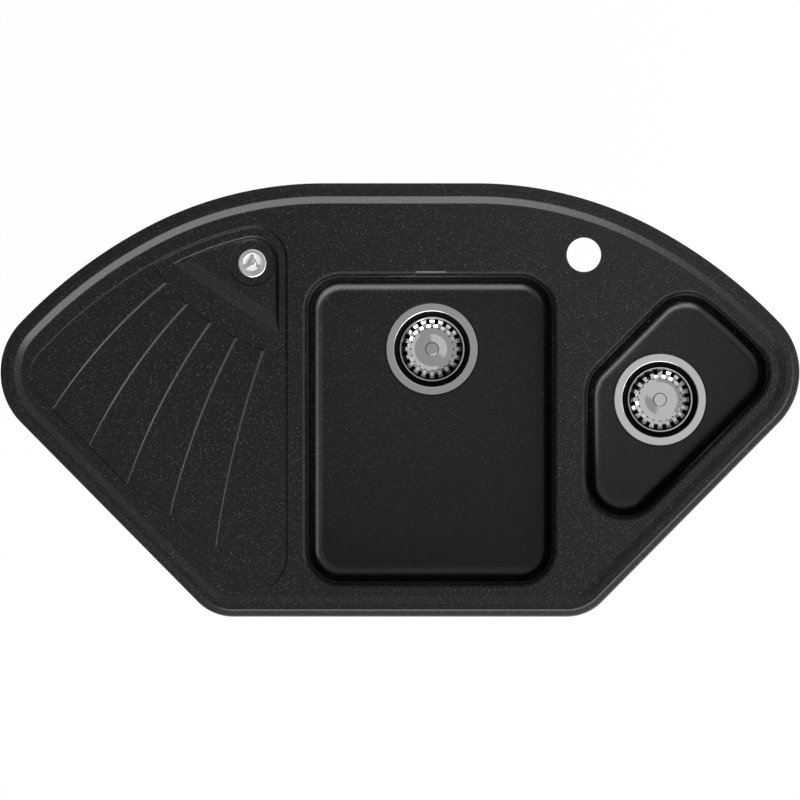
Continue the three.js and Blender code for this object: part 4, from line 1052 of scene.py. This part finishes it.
def drain_cutters(drain, floor):
    seat = floor - BOWL_FLOOR_FALL - SEAT_RECESS
    under = floor - BOWL_FLOOR_FALL - SHELL
    lip = floor - BOWL_FLOOR_FALL
    recess = turned(
        [(0, seat), (SEAT_RADIUS, seat), (SEAT_RADIUS, lip - 0.7), (SEAT_RADIUS + 0.2, lip - 0.25),
         (SEAT_RADIUS + 0.7, lip + 0.05), (SEAT_RADIUS + 0.7, lip + 3), (0, lip + 3)],
        128,
        (drain.x, drain.y, 0),
    )
    return [recess, disc(CUP_HOLE_RADIUS, under - 1, seat + 1, drain, 128)]


def tap_hole_cutter():
    hole = TAP_HOLE_RADIUS
    return turned(
        [(0, UNDER_DECK - 1), (hole, UNDER_DECK - 1), (hole, DECK_HEIGHT - 0.7),
         (hole + 0.2, DECK_HEIGHT - 0.2), (hole + 0.7, DECK_HEIGHT),
         (hole + 0.7, DECK_HEIGHT + 1), (0, DECK_HEIGHT + 1)],
        128,
        (*TAP_HOLE, 0),
    )


def seal_groove():
    outer, inner = [SINK_OUTLINE.at(inset) for inset in (SEAL_INSET, SEAL_INSET + SEAL_WIDTH)]
    core = skin([(inner, -2), (inner, SEAL_HEIGHT + 1)])
    return cut(skin([(outer, -1), (outer, SEAL_HEIGHT)]), core)


def basin():
    body = deck_slab()
    bosses = [disc(6, UNDER_DECK - 4, UNDER_DECK + 1, spot, 32) for spot in CLIP_SPOTS]
    holes = [disc(SCREW_HOLE, UNDER_DECK - 5, 0, spot, 16) for spot in CLIP_SPOTS]
    tubs = [bowl_tub(*bowl, draft) for bowl, draft in zip(BOWLS, TUB_DRAFTS)]
    join(body, *tubs, *drainer_underside(), overflow_boss(), *bosses)
    cut(body, *[bowl_cavity(*bowl) for bowl in BOWLS], drainer_cutter(), well_cutter())
    for _, drain, floor in BOWLS:
        cut(body, *drain_cutters(drain, floor))
    cut(body, tap_hole_cutter(), *overflow_cutters(), *holes, seal_groove())
    smooth(body, 24)
    place(body, "basin", "composite", name="basin_moulding")


basin()


# ---------- Strainers ----------
# Heights here count up from the flat seat in the bowl's floor.
def paint_shade(piece, where):
    """Paints shade with the near-black steel on the faces that the rule picks by radius, height and
    upward tilt.
    """
    piece.data.materials.append(PAINTED_SHADE_STEEL)
    for face in piece.data.polygons:
        middle = face.center
        if where(math.hypot(middle.x, middle.y), middle.z, face.normal.z):
            face.material_index = len(piece.data.materials) - 1


def strainer_flange():
    cup = turned(
        [(61, 1.8), (61, 2.75), (60.9, 2.93), (60.7, 3), (51.6, 3), (51.1, 2.93), (50.6, 2.72),
         (50.2, 2.35), (49.8, 1.75), (44.5, -8.4), (44.1, -9), (43.4, -9.4), (42.4, -9.6),
         (41.9, -10.2), (40.1, -36), (39.6, -37.2), (38.4, -38), (25, -38.5), (24.3, -38.8),
         (24, -39.7), (40.7, -39.3), (41.3, -38.6), (45.4, -9.5), (51, 1.8)],
        128,
    )
    spokes = spider(26, 5, -39.7, -38.5, 90)
    hub = cut(join(disc(7, -39.7, -38.5), spokes), disc(SCREW_HOLE, -41, -37, steps=32))
    return join(cup, hub)


def basket():
    body = turned(
        [(43.7, -8.7), (43.68, -7.5), (43.4, -6.85), (42.9, -6.5), (42.2, -6.4), (41.6, -6.45),
         (41.1, -6.75), (40.8, -7.3), (40.6, -8.2), (39, -21.2), (38.7, -21.9), (35.4, -23.4),
         (35, -23.55), (29.4, -23.85), (27.6, -23.95), (27.3, -24), (23.5, -24.5),
         (23.2, -24.55), (20.1, -24.55), (19.9, -24.54),
         (9.6, -23.96), (9.3, -23.95), (3.3, -23.95), (3.3, -25.8), (23, -26.5), (25.6, -29),
         (31.5, -29), (32.8, -26.4), (36, -25.3), (39.3, -23.2), (39.7, -22), (41.6, -9.2)],
        120,
    )
    slots, dots, tongues = [], [], []
    for k in range(SLOT_COUNT):
        turn = (k + 0.5) * 360 / SLOT_COUNT
        slots.append(moved(block((7.6, 5.7, 9), (35.5, 0, -25)), turn=turn))
        tongue = moved(block((4.1, 5, 0.8), (0, 0, 0)), 31.2, 0, -23.4, turn=-21, axis="Y")
        tongues.append(moved(tongue, turn=turn))
        middle = k * 360 / SLOT_COUNT
        dots.append(moved(block((1.5, 2.6, 8), (28.5, 0, -26.5)), turn=middle))
    cut(body, *slots)
    join(body, *tongues)
    cut(body, *dots)
    return body


def basket_knob():
    return turned(
        [(0, -34.7), (5, -34.7), (5, -33.7), (3, -33.7), (3, -22.3), (3.6, -21.8), (8.5, -19.4),
         (8.95, -18.9), (9.1, -18.2), (9.1, -15.4), (9, -14.9), (8.5, -14.4), (8.2, -14.2),
         (7.7, -14), (0, -14)],
    )


def basket_plug():
    profile = [(3.3, -33.4), (10, -33.4), (11, -37.7), (27, -37.7), (25, -31), (21, -26.8),
               (3.3, -26.8)]
    return turned(softened(profile, 1.2))


def washer(inner, outer, bottom, top):
    profile = [(inner, bottom), (outer, bottom), (outer, top), (inner, top)]
    return turned(softened(profile, 0.4, 2))


BODY_BORE = 46.6
STUB_HEIGHT = -26
STUB_TIP = BODY_BORE + 22.6
GRIP_RADIUS = 1.98


def hose_stub(degrees):
    inner = (*polar((0, 0), BODY_BORE + 1, degrees), STUB_HEIGHT)
    outer = (*polar((0, 0), STUB_TIP, degrees), STUB_HEIGHT)
    return bar(inner, outer, STUB_RADIUS)


def waste_body(stubs):
    wall = BODY_BORE + 2.6
    shell_body = turned(
        softened(
            [(BODY_BORE, -10.4), (BODY_BORE, -46), (SOCKET_BORE, -62), (SOCKET_BORE, -85),
             (SPIGOT_RADIUS, -85), (SPIGOT_RADIUS, -64), (wall, -48), (wall, -14.4), (59, -14.4),
             (59, -10.4)],
            1.4,
        ),
    )
    ribs = spider(SPIGOT_RADIUS, 3, -66, -62, -90)
    join(shell_body, ribs, disc(SCREW_RADIUS + 4, -66, -48, steps=32))
    for k in range(12):
        web = block((8.5, 2, 12), (wall + 4, 0, -20.2))
        join(shell_body, moved(web, turn=15 + 30 * k))
    join(shell_body, *[hose_stub(turn) for turn in stubs])
    return cut(shell_body, disc(SCREW_HOLE, -67, -47, steps=32))


def cross_slots(width, length, bottom, top, turn):
    size = (length, width, top - bottom)
    middle = (0, 0, (top + bottom) / 2)
    return [moved(block(size, middle), turn=turn + quarter) for quarter in (0, 90)]


def clamp_screw():
    screw = turned(
        [(0, -64), (2.4, -64), (2.4, -38.2), (6, -38.2), (6, -37), (5.6, -36.3), (4.6, -35.8),
         (3, -35.6), (0, -35.6)],
        48,
    )
    return cut(screw, *cross_slots(1.1, 6, -37, -35, 20))


def union_nut():
    """A nut over a spigot whose end is at 0, with a lip below it and grips around it."""
    inner, rim = 25.2, 28.1
    nut = turned(
        softened(
            [(inner, 13), (rim - 1, 13), (rim - 1, -3), (SOCKET_BORE, -3), (SOCKET_BORE, -0.3),
             (inner, -0.3)],
            0.9,
        ),
    )
    for k in range(18):
        spot = polar((0, 0), rim - 2, k * 20)
        join(nut, disc(GRIP_RADIUS, -1.8, 11.8, spot, 12))
    return nut


def waste_set(which, drain, stubs):
    """All pieces of one strainer and waste, set on their seat.

    Painted shade, a near-black steel, lies on the flange's edge, in the groove of its cup and on
    the cup's floor, in the basket's slots and below it, and round the knob.
    """
    seat = (drain.x, drain.y, {"main": MAIN_SEAT, "small": SMALL_SEAT}[which])
    lifted = f"{which}_basket_set"

    def fit_in(piece, part, slot, body="sink", angle=30, painted_shade=None):
        smooth(piece, angle)
        piece.data.materials.clear()
        piece.data.materials.append(PAINTS[slot])
        if painted_shade:
            paint_shade(piece, painted_shade)
        place(moved(piece, *seat), f"{which}_{part}", slot, body)

    fit_in(washer(52.4, 60, FIT, 1.5), "flange_gasket", "seal_rubber")
    # Painted shade on the flange's outer edge, in its groove and in the cup below the basket.
    fit_in(
        strainer_flange(), "strainer_flange", "strainer_steel",
        painted_shade=lambda r, z, up: r > 60.6 or 44.3 < r < 49.9 and z < 1.9 or r < 44.3 and z < -8.9,
    )
    # Painted shade on the basket's outer wall, in its slots and on its underside.
    fit_in(
        basket(), "basket", "strainer_steel", lifted, 26,
        painted_shade=lambda r, z, up: r > 38.7 and z < -8.2 or abs(up) < 0.5 and z < -20 or up < -0.2,
    )
    # Painted shade round the knob's edge and on its stem.
    fit_in(
        basket_knob(), "basket_knob", "strainer_steel", lifted,
        painted_shade=lambda r, z, up: r > 8.3 or z < -18,
    )
    fit_in(basket_plug(), "basket_plug", "seal_rubber", lifted)
    fit_in(washer(52.4, 59, -10.1, -7.1), "lower_gasket", "seal_rubber")
    fit_in(waste_body(stubs), "waste_body", "white_plastic")
    fit_in(clamp_screw(), "clamp_screw", "zinc")
    fit_in(moved(union_nut(), 0, 0, -85), "waste_nut", "white_plastic")


DRAINER_HOSE_TURN = 165
OVERFLOW_HOSE_TURN = 90
waste_set("main", MAIN_DRAIN, (DRAINER_HOSE_TURN, OVERFLOW_HOSE_TURN))
waste_set("small", SMALL_DRAIN, ())


# ---------- Pipes and trap ----------
BRANCH_WAY = (SMALL_DRAIN - MAIN_DRAIN).normalized()
BRANCH_END = MAIN_DRAIN + BRANCH_WAY * BRANCH_REACH
PIPE_BELOW_SEAT = 70


def branch_tee():
    def arm(start, stop, radius, beyond=0):
        ends = [MAIN_DRAIN + BRANCH_WAY * start, MAIN_DRAIN + BRANCH_WAY * (stop + beyond)]
        return bar((*ends[0], BRANCH_HEIGHT), (*ends[1], BRANCH_HEIGHT), radius)

    top = MAIN_SEAT - PIPE_BELOW_SEAT
    stem = disc(PIPE_RADIUS, TRAP_TOP, top, MAIN_DRAIN)
    collar = turned(
        softened([(PIPE_RADIUS - 1, -26), (PIPE_RADIUS + 1.6, -24), (PIPE_RADIUS + 1.6, 24),
                  (PIPE_RADIUS - 1, 26)], 1.5),
        centre=(*MAIN_DRAIN, BRANCH_HEIGHT),
    )
    spigot = arm(39, BRANCH_REACH, SPIGOT_RADIUS)
    tee = join(stem, collar, arm(0, BRANCH_REACH, PIPE_RADIUS), spigot)
    bevel(tee, 0.8)
    return cut(
        tee,
        disc(PIPE_BORE, TRAP_TOP - 1, top + 1, MAIN_DRAIN),
        arm(0, BRANCH_REACH, PIPE_BORE),
        arm(45, BRANCH_REACH, SOCKET_BORE, 1),
    )


def hollow(run):
    """A pipe along a run, its bore open at both ends."""
    longer = [run[0] + (run[0] - run[1]).normalized(), *run[1:-1],
              run[-1] + (run[-1] - run[-2]).normalized()]
    return cut(swept(run, PIPE_RADIUS, 56), swept(longer, PIPE_BORE, 56))


fitted(branch_tee(), "branch_tee", "white_plastic")
SMALL_PIPE = route(
    [(*SMALL_DRAIN, SMALL_SEAT - PIPE_BELOW_SEAT), (*SMALL_DRAIN, BRANCH_HEIGHT),
     (*(BRANCH_END - BRANCH_WAY * 15), BRANCH_HEIGHT)],
    55, 24,
)
fitted(hollow(SMALL_PIPE), "small_waste_pipe", "white_plastic")

NUT_TURN = math.degrees(math.atan2(BRANCH_WAY.y, BRANCH_WAY.x))
BRANCH_NUT = union_nut()
moved(BRANCH_NUT, turn=-90, axis="Y")
moved(BRANCH_NUT, *BRANCH_END, BRANCH_HEIGHT, turn=NUT_TURN)
fitted(BRANCH_NUT, "branch_nut", "white_plastic")


# Heights here count from the foot of the branch tee, and distances from the trap's axis.
TRAP_JOINT = -74.1
DIP_LENGTH = 98.1
TRAP_RADIUS = 30
TRAP_OUTER = 32.6
TRAP_END = 58.6


def trap_arm(start, stop, radius):
    drop = TRAP_OUTLET - TRAP_TOP
    return bar((0, start, drop), (0, stop, drop), radius)


def trap_body():
    body = turned(
        softened(
            [(SOCKET_BORE, 15), (SOCKET_BORE, -4), (PIPE_BORE, -4), (PIPE_BORE, -DIP_LENGTH),
             (PIPE_RADIUS, -DIP_LENGTH), (PIPE_RADIUS, -13), (TRAP_RADIUS, -13),
             (TRAP_RADIUS, TRAP_JOINT), (TRAP_OUTER, TRAP_JOINT), (TRAP_OUTER, -9),
             (SPIGOT_RADIUS, -6), (SPIGOT_RADIUS, 15)],
            1.4,
        ),
    )
    chamber = disc(TRAP_RADIUS + 0.1, -DIP_LENGTH, 0)
    dip = disc(PIPE_RADIUS + 2, -DIP_LENGTH, 0)
    socket = trap_arm(TRAP_END - 17, TRAP_END + 1, SOCKET_BORE)
    bore = join(trap_arm(24, TRAP_END - 15, PIPE_BORE), socket)
    join(body, cut(trap_arm(TRAP_RADIUS - 4, TRAP_END, SPIGOT_RADIUS), chamber))
    return cut(body, cut(bore, dip))


def trap_cup():
    bottom = TRAP_JOINT - 50
    cup = turned(
        softened(
            [(0, bottom), (22, bottom), (TRAP_RADIUS, bottom + 8), (TRAP_RADIUS, TRAP_JOINT - 4),
             (35.6, TRAP_JOINT - 4), (35.6, TRAP_JOINT + 12), (34, TRAP_JOINT + 12),
             (34, TRAP_JOINT - FIT), (27.4, TRAP_JOINT - FIT), (27.4, bottom + 9),
             (21, bottom + 2.6), (0, bottom + 2.6)],
            2.2, 4,
        ),
    )
    for k in range(24):
        spot = polar((0, 0), 34.6, k * 15)
        join(cup, disc(GRIP_RADIUS, TRAP_JOINT - 3, TRAP_JOINT + 11, spot, 12))
    return cup


TRAP_PLACE = (*MAIN_DRAIN, TRAP_TOP)
fitted(moved(trap_body(), *TRAP_PLACE), "trap_body", "white_plastic")
fitted(moved(trap_cup(), *TRAP_PLACE), "trap_cup", "white_plastic", "trap_cup_body")
INLET_NUT = moved(union_nut(), turn=180, axis="X")
fitted(moved(INLET_NUT, *MAIN_DRAIN, TRAP_TOP + 15), "trap_inlet_nut", "white_plastic")
OUTLET_NUT = moved(union_nut(), turn=90, axis="X")
moved(OUTLET_NUT, MAIN_DRAIN.x, MAIN_DRAIN.y + TRAP_END, TRAP_OUTLET)
fitted(OUTLET_NUT, "trap_outlet_nut", "white_plastic")
OUTLET_RUN = [
    Vector((MAIN_DRAIN.x, MAIN_DRAIN.y + along, TRAP_OUTLET))
    for along in (TRAP_END - 15, TRAP_END + 120)
]
fitted(hollow(OUTLET_RUN), "trap_outlet_pipe", "white_plastic")


# ---------- Drainer outlet ----------
# Heights here count up from the rosette's seat.
OUTLET_PLACE = (OUTLET.x, OUTLET.y, ROSETTE_SEAT)
ELBOW_BEND = -44.1
ELBOW_WAY = Vector((*polar((0, 0), 1, -100), 0))


def rosette():
    plate = turned(
        [(12.4, 0.3), (18.5, 0.3), (18.5, 1.2), (18.4, 1.5), (18.1, 1.7), (17.4, 1.85),
         (16.4, 2.1), (16, 2.1), (15.4, 1.9), (14, 1.75), (13.4, 1.9), (12.7, 2), (12.5, 1.9),
         (12.4, 1.6)],
        128,
    )
    arms = spider(13.4, 4, 0.3, 1.5, -30)
    bevel(arms, 0.5)
    hub = disc(5.8, 0.3, 1.5)
    return cut(join(plate, arms, hub), disc(SCREW_HOLE, 0, 5, steps=32))


def rosette_screw():
    screw = turned(
        [(0, -27.5), (2.4, -27.5), (2.4, 1.8), (5.2, 1.8), (5.2, 2.3), (4.9, 2.8), (4.2, 3.2),
         (3, 3.5), (1.5, 3.6), (0, 3.6)],
        64,
    )
    return cut(screw, *cross_slots(1.1, 6.6, 2.2, 4, 24))


def drainer_elbow():
    """The white body below the outlet, with a dish that almost fills the rosette's windows."""
    top, bottom = -10.1, -57.6
    cup = turned(
        softened(
            [(0, bottom), (14.5, bottom), (16.1, ELBOW_BEND), (16.1, top - 3), (32, top - 3),
             (32, top), (12.5, top), (12.5, bottom + 5), (5, bottom + 5), (5, top - 10),
             (0, top - 10)],
            1.2,
        ),
    )
    dish = turned(
        [(13.1, -10.6), (13.1, -0.4), (12.8, -0.1), (3, -0.1), (3, -1.3), (11.4, -1.3),
         (11.9, -1.8), (11.9, -10.6)],
    )
    ends = [ELBOW_WAY * reach + Vector((0, 0, ELBOW_BEND)) for reach in (11.5, 44)]
    return join(cup, dish, bar(*ends, STUB_RADIUS))


for piece, node, slot in (
    (rosette(), "drainer_rosette", "outlet_chrome"),
    (rosette_screw(), "drainer_rosette_screw", "outlet_chrome"),
    (washer(14.5, 31, PAD_BELOW_SEAT - 2.3, PAD_BELOW_SEAT - 0.3), "drainer_gasket", "seal_rubber"),
    (drainer_elbow(), "drainer_elbow", "white_plastic"),
):
    fitted(moved(piece, *OUTLET_PLACE), node, slot)


# ---------- Overflow ----------
PLATE_Y = OVERFLOW_BOSS_Y + 2.6
PLATE_Z = -17.5
PLATE_WIDTH = OVERFLOW_WIDTH + 20
PLATE_HEIGHT = 24
ELBOW_Y = PLATE_Y + 12
STUB_END = OVERFLOW_Z - 36


def overflow_elbow():
    plate = block((PLATE_WIDTH, 4, PLATE_HEIGHT), (OVERFLOW_X, PLATE_Y + 2, PLATE_Z))
    box = block((OVERFLOW_WIDTH + 2, 24, 15.1), (OVERFLOW_X, PLATE_Y + 12, -13.05))
    bevel(plate, 1.4, 3)
    bevel(box, 2.4, 4)
    stub = bar((OVERFLOW_X, ELBOW_Y, OVERFLOW_Z), (OVERFLOW_X, ELBOW_Y, STUB_END), STUB_RADIUS)
    collar = turned(
        softened([(0, -24), (12, -24), (14, -19), (0, -18)], 1), centre=(OVERFLOW_X, ELBOW_Y, 0)
    )
    hole = block((OVERFLOW_SLOT, 42, OVERFLOW_HEIGHT), (OVERFLOW_X, PLATE_Y, OVERFLOW_Z))
    heads = []
    for side in (-1, 1):
        head = turned(softened([(0, 0), (3.4, 0), (3.4, 1.6), (2.4, 2.6), (0, 2.6)], 0.6), 32)
        x = OVERFLOW_X + side * (OVERFLOW_WIDTH / 2 + 5.5)
        heads.append(moved(head, x, PLATE_Y + 3.8, PLATE_Z, turn=-90, axis="X"))
    return cut(join(plate, box, stub, collar, *heads), hole)


def overflow_gasket():
    y = OVERFLOW_BOSS_Y + 1.3
    pad = block((PLATE_WIDTH, 2, PLATE_HEIGHT), (OVERFLOW_X, y, PLATE_Z))
    bevel(pad, 0.4)
    return cut(pad, block((OVERFLOW_SLOT, 10, OVERFLOW_HEIGHT), (OVERFLOW_X, y, OVERFLOW_Z)))


fitted(overflow_elbow(), "overflow_elbow", "white_plastic")
fitted(overflow_gasket(), "overflow_gasket", "seal_rubber")


# ---------- Bent hoses between spigots ----------
CUFF = 24
HOSE_PITCH = 4.6
HOSE_GROOVE = 1.7


def bent_hose(points, node):
    """A moulded tube along a bent route: plain cuffs on its spigots, and rings between."""
    run = evenly(route(points, 34, 24), HOSE_PITCH / 6)
    length = sum((b - a).length for a, b in zip(run, run[1:]))

    def size(share):
        along = share * length
        inside = max(min(along, length - along) - CUFF, 0)
        wave = 0.5 - 0.5 * math.cos(2 * math.pi * inside / HOSE_PITCH)
        return HOSE_RADIUS - 0.1 - HOSE_GROOVE * wave

    fitted(swept(run, size, 28), node, "hose_plastic", angle=50)


def stub_points(degrees):
    """Where a hose starts on its stub, the stub's tip, and the way out."""
    height = MAIN_SEAT + STUB_HEIGHT
    near = polar(MAIN_DRAIN, BODY_BORE + 3.6, degrees)
    tip = polar(MAIN_DRAIN, STUB_TIP, degrees)
    return Vector((*near, height)), Vector((*tip, height)), (tip - near).normalized()


near, tip, way = stub_points(DRAINER_HOSE_TURN)
elbow = Vector((OUTLET.x, OUTLET.y, ROSETTE_SEAT + ELBOW_BEND))
bent_hose(
    [elbow + ELBOW_WAY * 30, elbow + ELBOW_WAY * 106, tip + Vector((*way * 130, 0)), near],
    "drainer_hose",
)
near, tip, way = stub_points(OVERFLOW_HOSE_TURN)
bent_hose(
    [(OVERFLOW_X, ELBOW_Y, STUB_END + 14), (OVERFLOW_X, ELBOW_Y, near.z + 55),
     tip + Vector((*way * 36, 0)), near],
    "overflow_hose",
)


# ---------- Rim seal and fixing clips ----------
def rim_seal():
    rings = [SINK_OUTLINE.at(SEAL_INSET + FIT), SINK_OUTLINE.at(SEAL_INSET + SEAL_WIDTH - FIT)]
    outer = skin([(rings[0], 0), (rings[0], SEAL_HEIGHT - FIT)])
    return cut(outer, skin([(rings[1], -1), (rings[1], SEAL_HEIGHT)]))


def fixing_clip():
    """A pressed strap with a toothed end and a heel, along X from its screw."""
    low = -44.5
    outline = [(-7, low), (33, low), (33, low + 8), (31, low + 8), (31, low + 2), (-5, low + 2),
               (-5, low + 16), (-7, low + 16)]
    strap = loft([[(x, y, z) for x, z in outline] for y in (-6, 6)])
    bevel(strap, 0.6, 2)
    notches = [block((4, 1.8, 5), (32, y, low + 8.4)) for y in (-3.2, 0, 3.2)]
    ridge = block((18, 3, 1.4), (16, 0, low + 2))
    bevel(ridge, 0.6, 2)
    return cut(join(strap, ridge), *notches, disc(SCREW_RADIUS + SLIDE, low - 1, low + 3, steps=32))


def fixing_screw():
    head = -47.2
    screw = turned(
        [(0, head), (3.4, head), (4.2, head + 0.5), (4.4, head + 1.1), (4.4, -44.8), (2.4, -44.8),
         (2.4, -1), (0, -1)],
        48,
    )
    return cut(screw, *cross_slots(1, 5.6, head - 1, head + 1.2, 45))


CLIP, SCREW = fixing_clip(), fixing_screw()
smooth(CLIP, 30)
smooth(SCREW, 30)
for number, (heading, spot) in enumerate(zip(CLIP_HEADINGS, CLIP_SPOTS), 1):
    copies = (CLIP, "clip", f"clip_{number}", heading), (SCREW, "screw", "sink", 0)
    for master, part, body, turn in copies:
        piece = master.copy()
        piece.data = master.data.copy()
        bpy.context.scene.collection.objects.link(piece)
        moved(piece, *spot, 0, turn=turn)
        place(piece, f"fixing_{part}_{number}", "zinc", body)
for master in (CLIP, SCREW):
    bpy.data.objects.remove(master)
fitted(rim_seal(), "rim_seal", "seal_rubber")


# ---------- Camera, light and stage ----------
def camera():
    """Straight down from far off, so that the view is all but parallel, as in the photograph."""
    height = 40
    frame_width = 1.0613
    lens = bpy.data.cameras.new("camera")
    lens.sensor_width = 36
    lens.lens = lens.sensor_width * height / frame_width
    lens.clip_end = 2 * height
    eye = bpy.data.objects.new("camera", lens)
    eye.location = (0, 0.2744, height)
    bpy.context.scene.collection.objects.link(eye)
    bpy.context.scene.camera = eye


def soft_box(name, azimuth, elevation, distance, width, height, radiance):
    light = bpy.data.lights.new(name, "AREA")
    light.shape = "RECTANGLE"
    light.size, light.size_y = width, height
    light.energy = radiance * math.pi * width * height
    box = bpy.data.objects.new(name, light)
    turn, rise = math.radians(azimuth), math.radians(elevation)
    way = Vector((math.cos(turn) * math.cos(rise), math.sin(turn) * math.cos(rise), math.sin(rise)))
    box.location = Vector((0, 0.27, 0)) + way * distance
    box.rotation_euler = way.to_track_quat("Z", "Y").to_euler()
    bpy.context.scene.collection.objects.link(box)


def looked_at(tree):
    """1 for the rays of the camera, of polished metal and of glass."""
    path = tree.nodes.new("ShaderNodeLightPath")
    total = path.outputs["Is Camera Ray"]
    for ray in ("Is Glossy Ray", "Is Transmission Ray"):
        either = tree.nodes.new("ShaderNodeMath")
        either.operation = "MAXIMUM"
        tree.links.new(total, either.inputs[0])
        tree.links.new(path.outputs[ray], either.inputs[1])
        total = either.outputs[0]
    return total


def floor():
    """A pale floor below the lowered cup, white where it is seen but for the sink's shadow."""
    low, _ = cad_bounds
    room = 0.065
    bpy.ops.object.select_all(action="DESELECT")
    bpy.ops.mesh.primitive_plane_add(size=60, location=(0, 0, low.z - room))
    plane = bpy.context.object
    plane.name = "floor"
    paint = Paint("floor", {"Base Color": grey(0.9), "Roughness": 0.8})
    glow = paint.node("ShaderNodeEmission", None, {"Color": grey(1), "Strength": 1})
    share = Wire(paint, looked_at(paint.tree)) * 0.985
    shader = Wire(paint, paint.shader.outputs[0])
    mixed = paint.node("ShaderNodeMixShader", None, {0: share, 1: shader, 2: glow})
    paint.tree.links.new(mixed.socket, paint.tree.nodes["Material Output"].inputs[0])
    plane.data.materials.append(paint.material)
    plane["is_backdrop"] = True


def card(name, corners, tone):
    """A glowing card that only reflections see."""
    piece = solid(corners, [], [tuple(range(len(corners)))], name)
    paint = Paint(name)
    glow = paint.node("ShaderNodeEmission", None, {"Color": grey(tone), "Strength": 1})
    paint.tree.links.new(glow.socket, paint.tree.nodes["Material Output"].inputs[0])
    piece.data.materials.append(paint.material)
    piece.visible_camera = False
    piece.visible_diffuse = False
    piece.visible_shadow = False
    piece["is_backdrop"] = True


def cards():
    """Grey above the sink, brighter past a slanting line, and dark to its left and behind it."""
    left, right, front, rear, top, foot = -2.4, 1.25, -0.35, 2.6, 1.5, -0.2
    near, far = (0.552, front, top), (-1.151, rear, top)
    card("overhead_left", [(left, front, top), near, far, (left, rear, top)], 0.43)
    card("overhead_right", [near, (right, front, top), (right, rear, top), far], 0.76)
    uprights = (
        ("left_side", (left, -2), (left, rear), 0.25),
        ("rear_side", (left, rear), (right, rear), 0.3),
        ("rear_corner", (right, rear), (2.6, 1.1), 0.3),
    )
    for name, a, b, tone in uprights:
        card(name, [(*a, foot), (*b, foot), (*b, top), (*a, top)], tone)


def world():
    """White where it is looked at, and a plain grey light elsewhere."""
    sky = bpy.data.worlds.new("studio")
    bpy.context.scene.world = sky
    sky.use_nodes = True
    tree = sky.node_tree
    strength = tree.nodes.new("ShaderNodeMapRange")
    strength.inputs["To Min"].default_value = 0.3
    strength.inputs["To Max"].default_value = 1
    tree.links.new(looked_at(tree), strength.inputs[0])
    tree.links.new(strength.outputs[0], tree.nodes["Background"].inputs["Strength"])
    tree.nodes["Background"].inputs["Color"].default_value = (1, 1, 1, 1)


camera()
floor()
cards()
world()
soft_box("key", azimuth=-62, elevation=43, distance=5, width=6.8, height=3.4, radiance=4.9)
soft_box("side", azimuth=0, elevation=33, distance=2.2, width=1, height=0.5, radiance=4)
bpy.context.scene.view_settings.view_transform = "Standard"

[[list(corner) for corner in box] for box in (cad_bounds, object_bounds())]
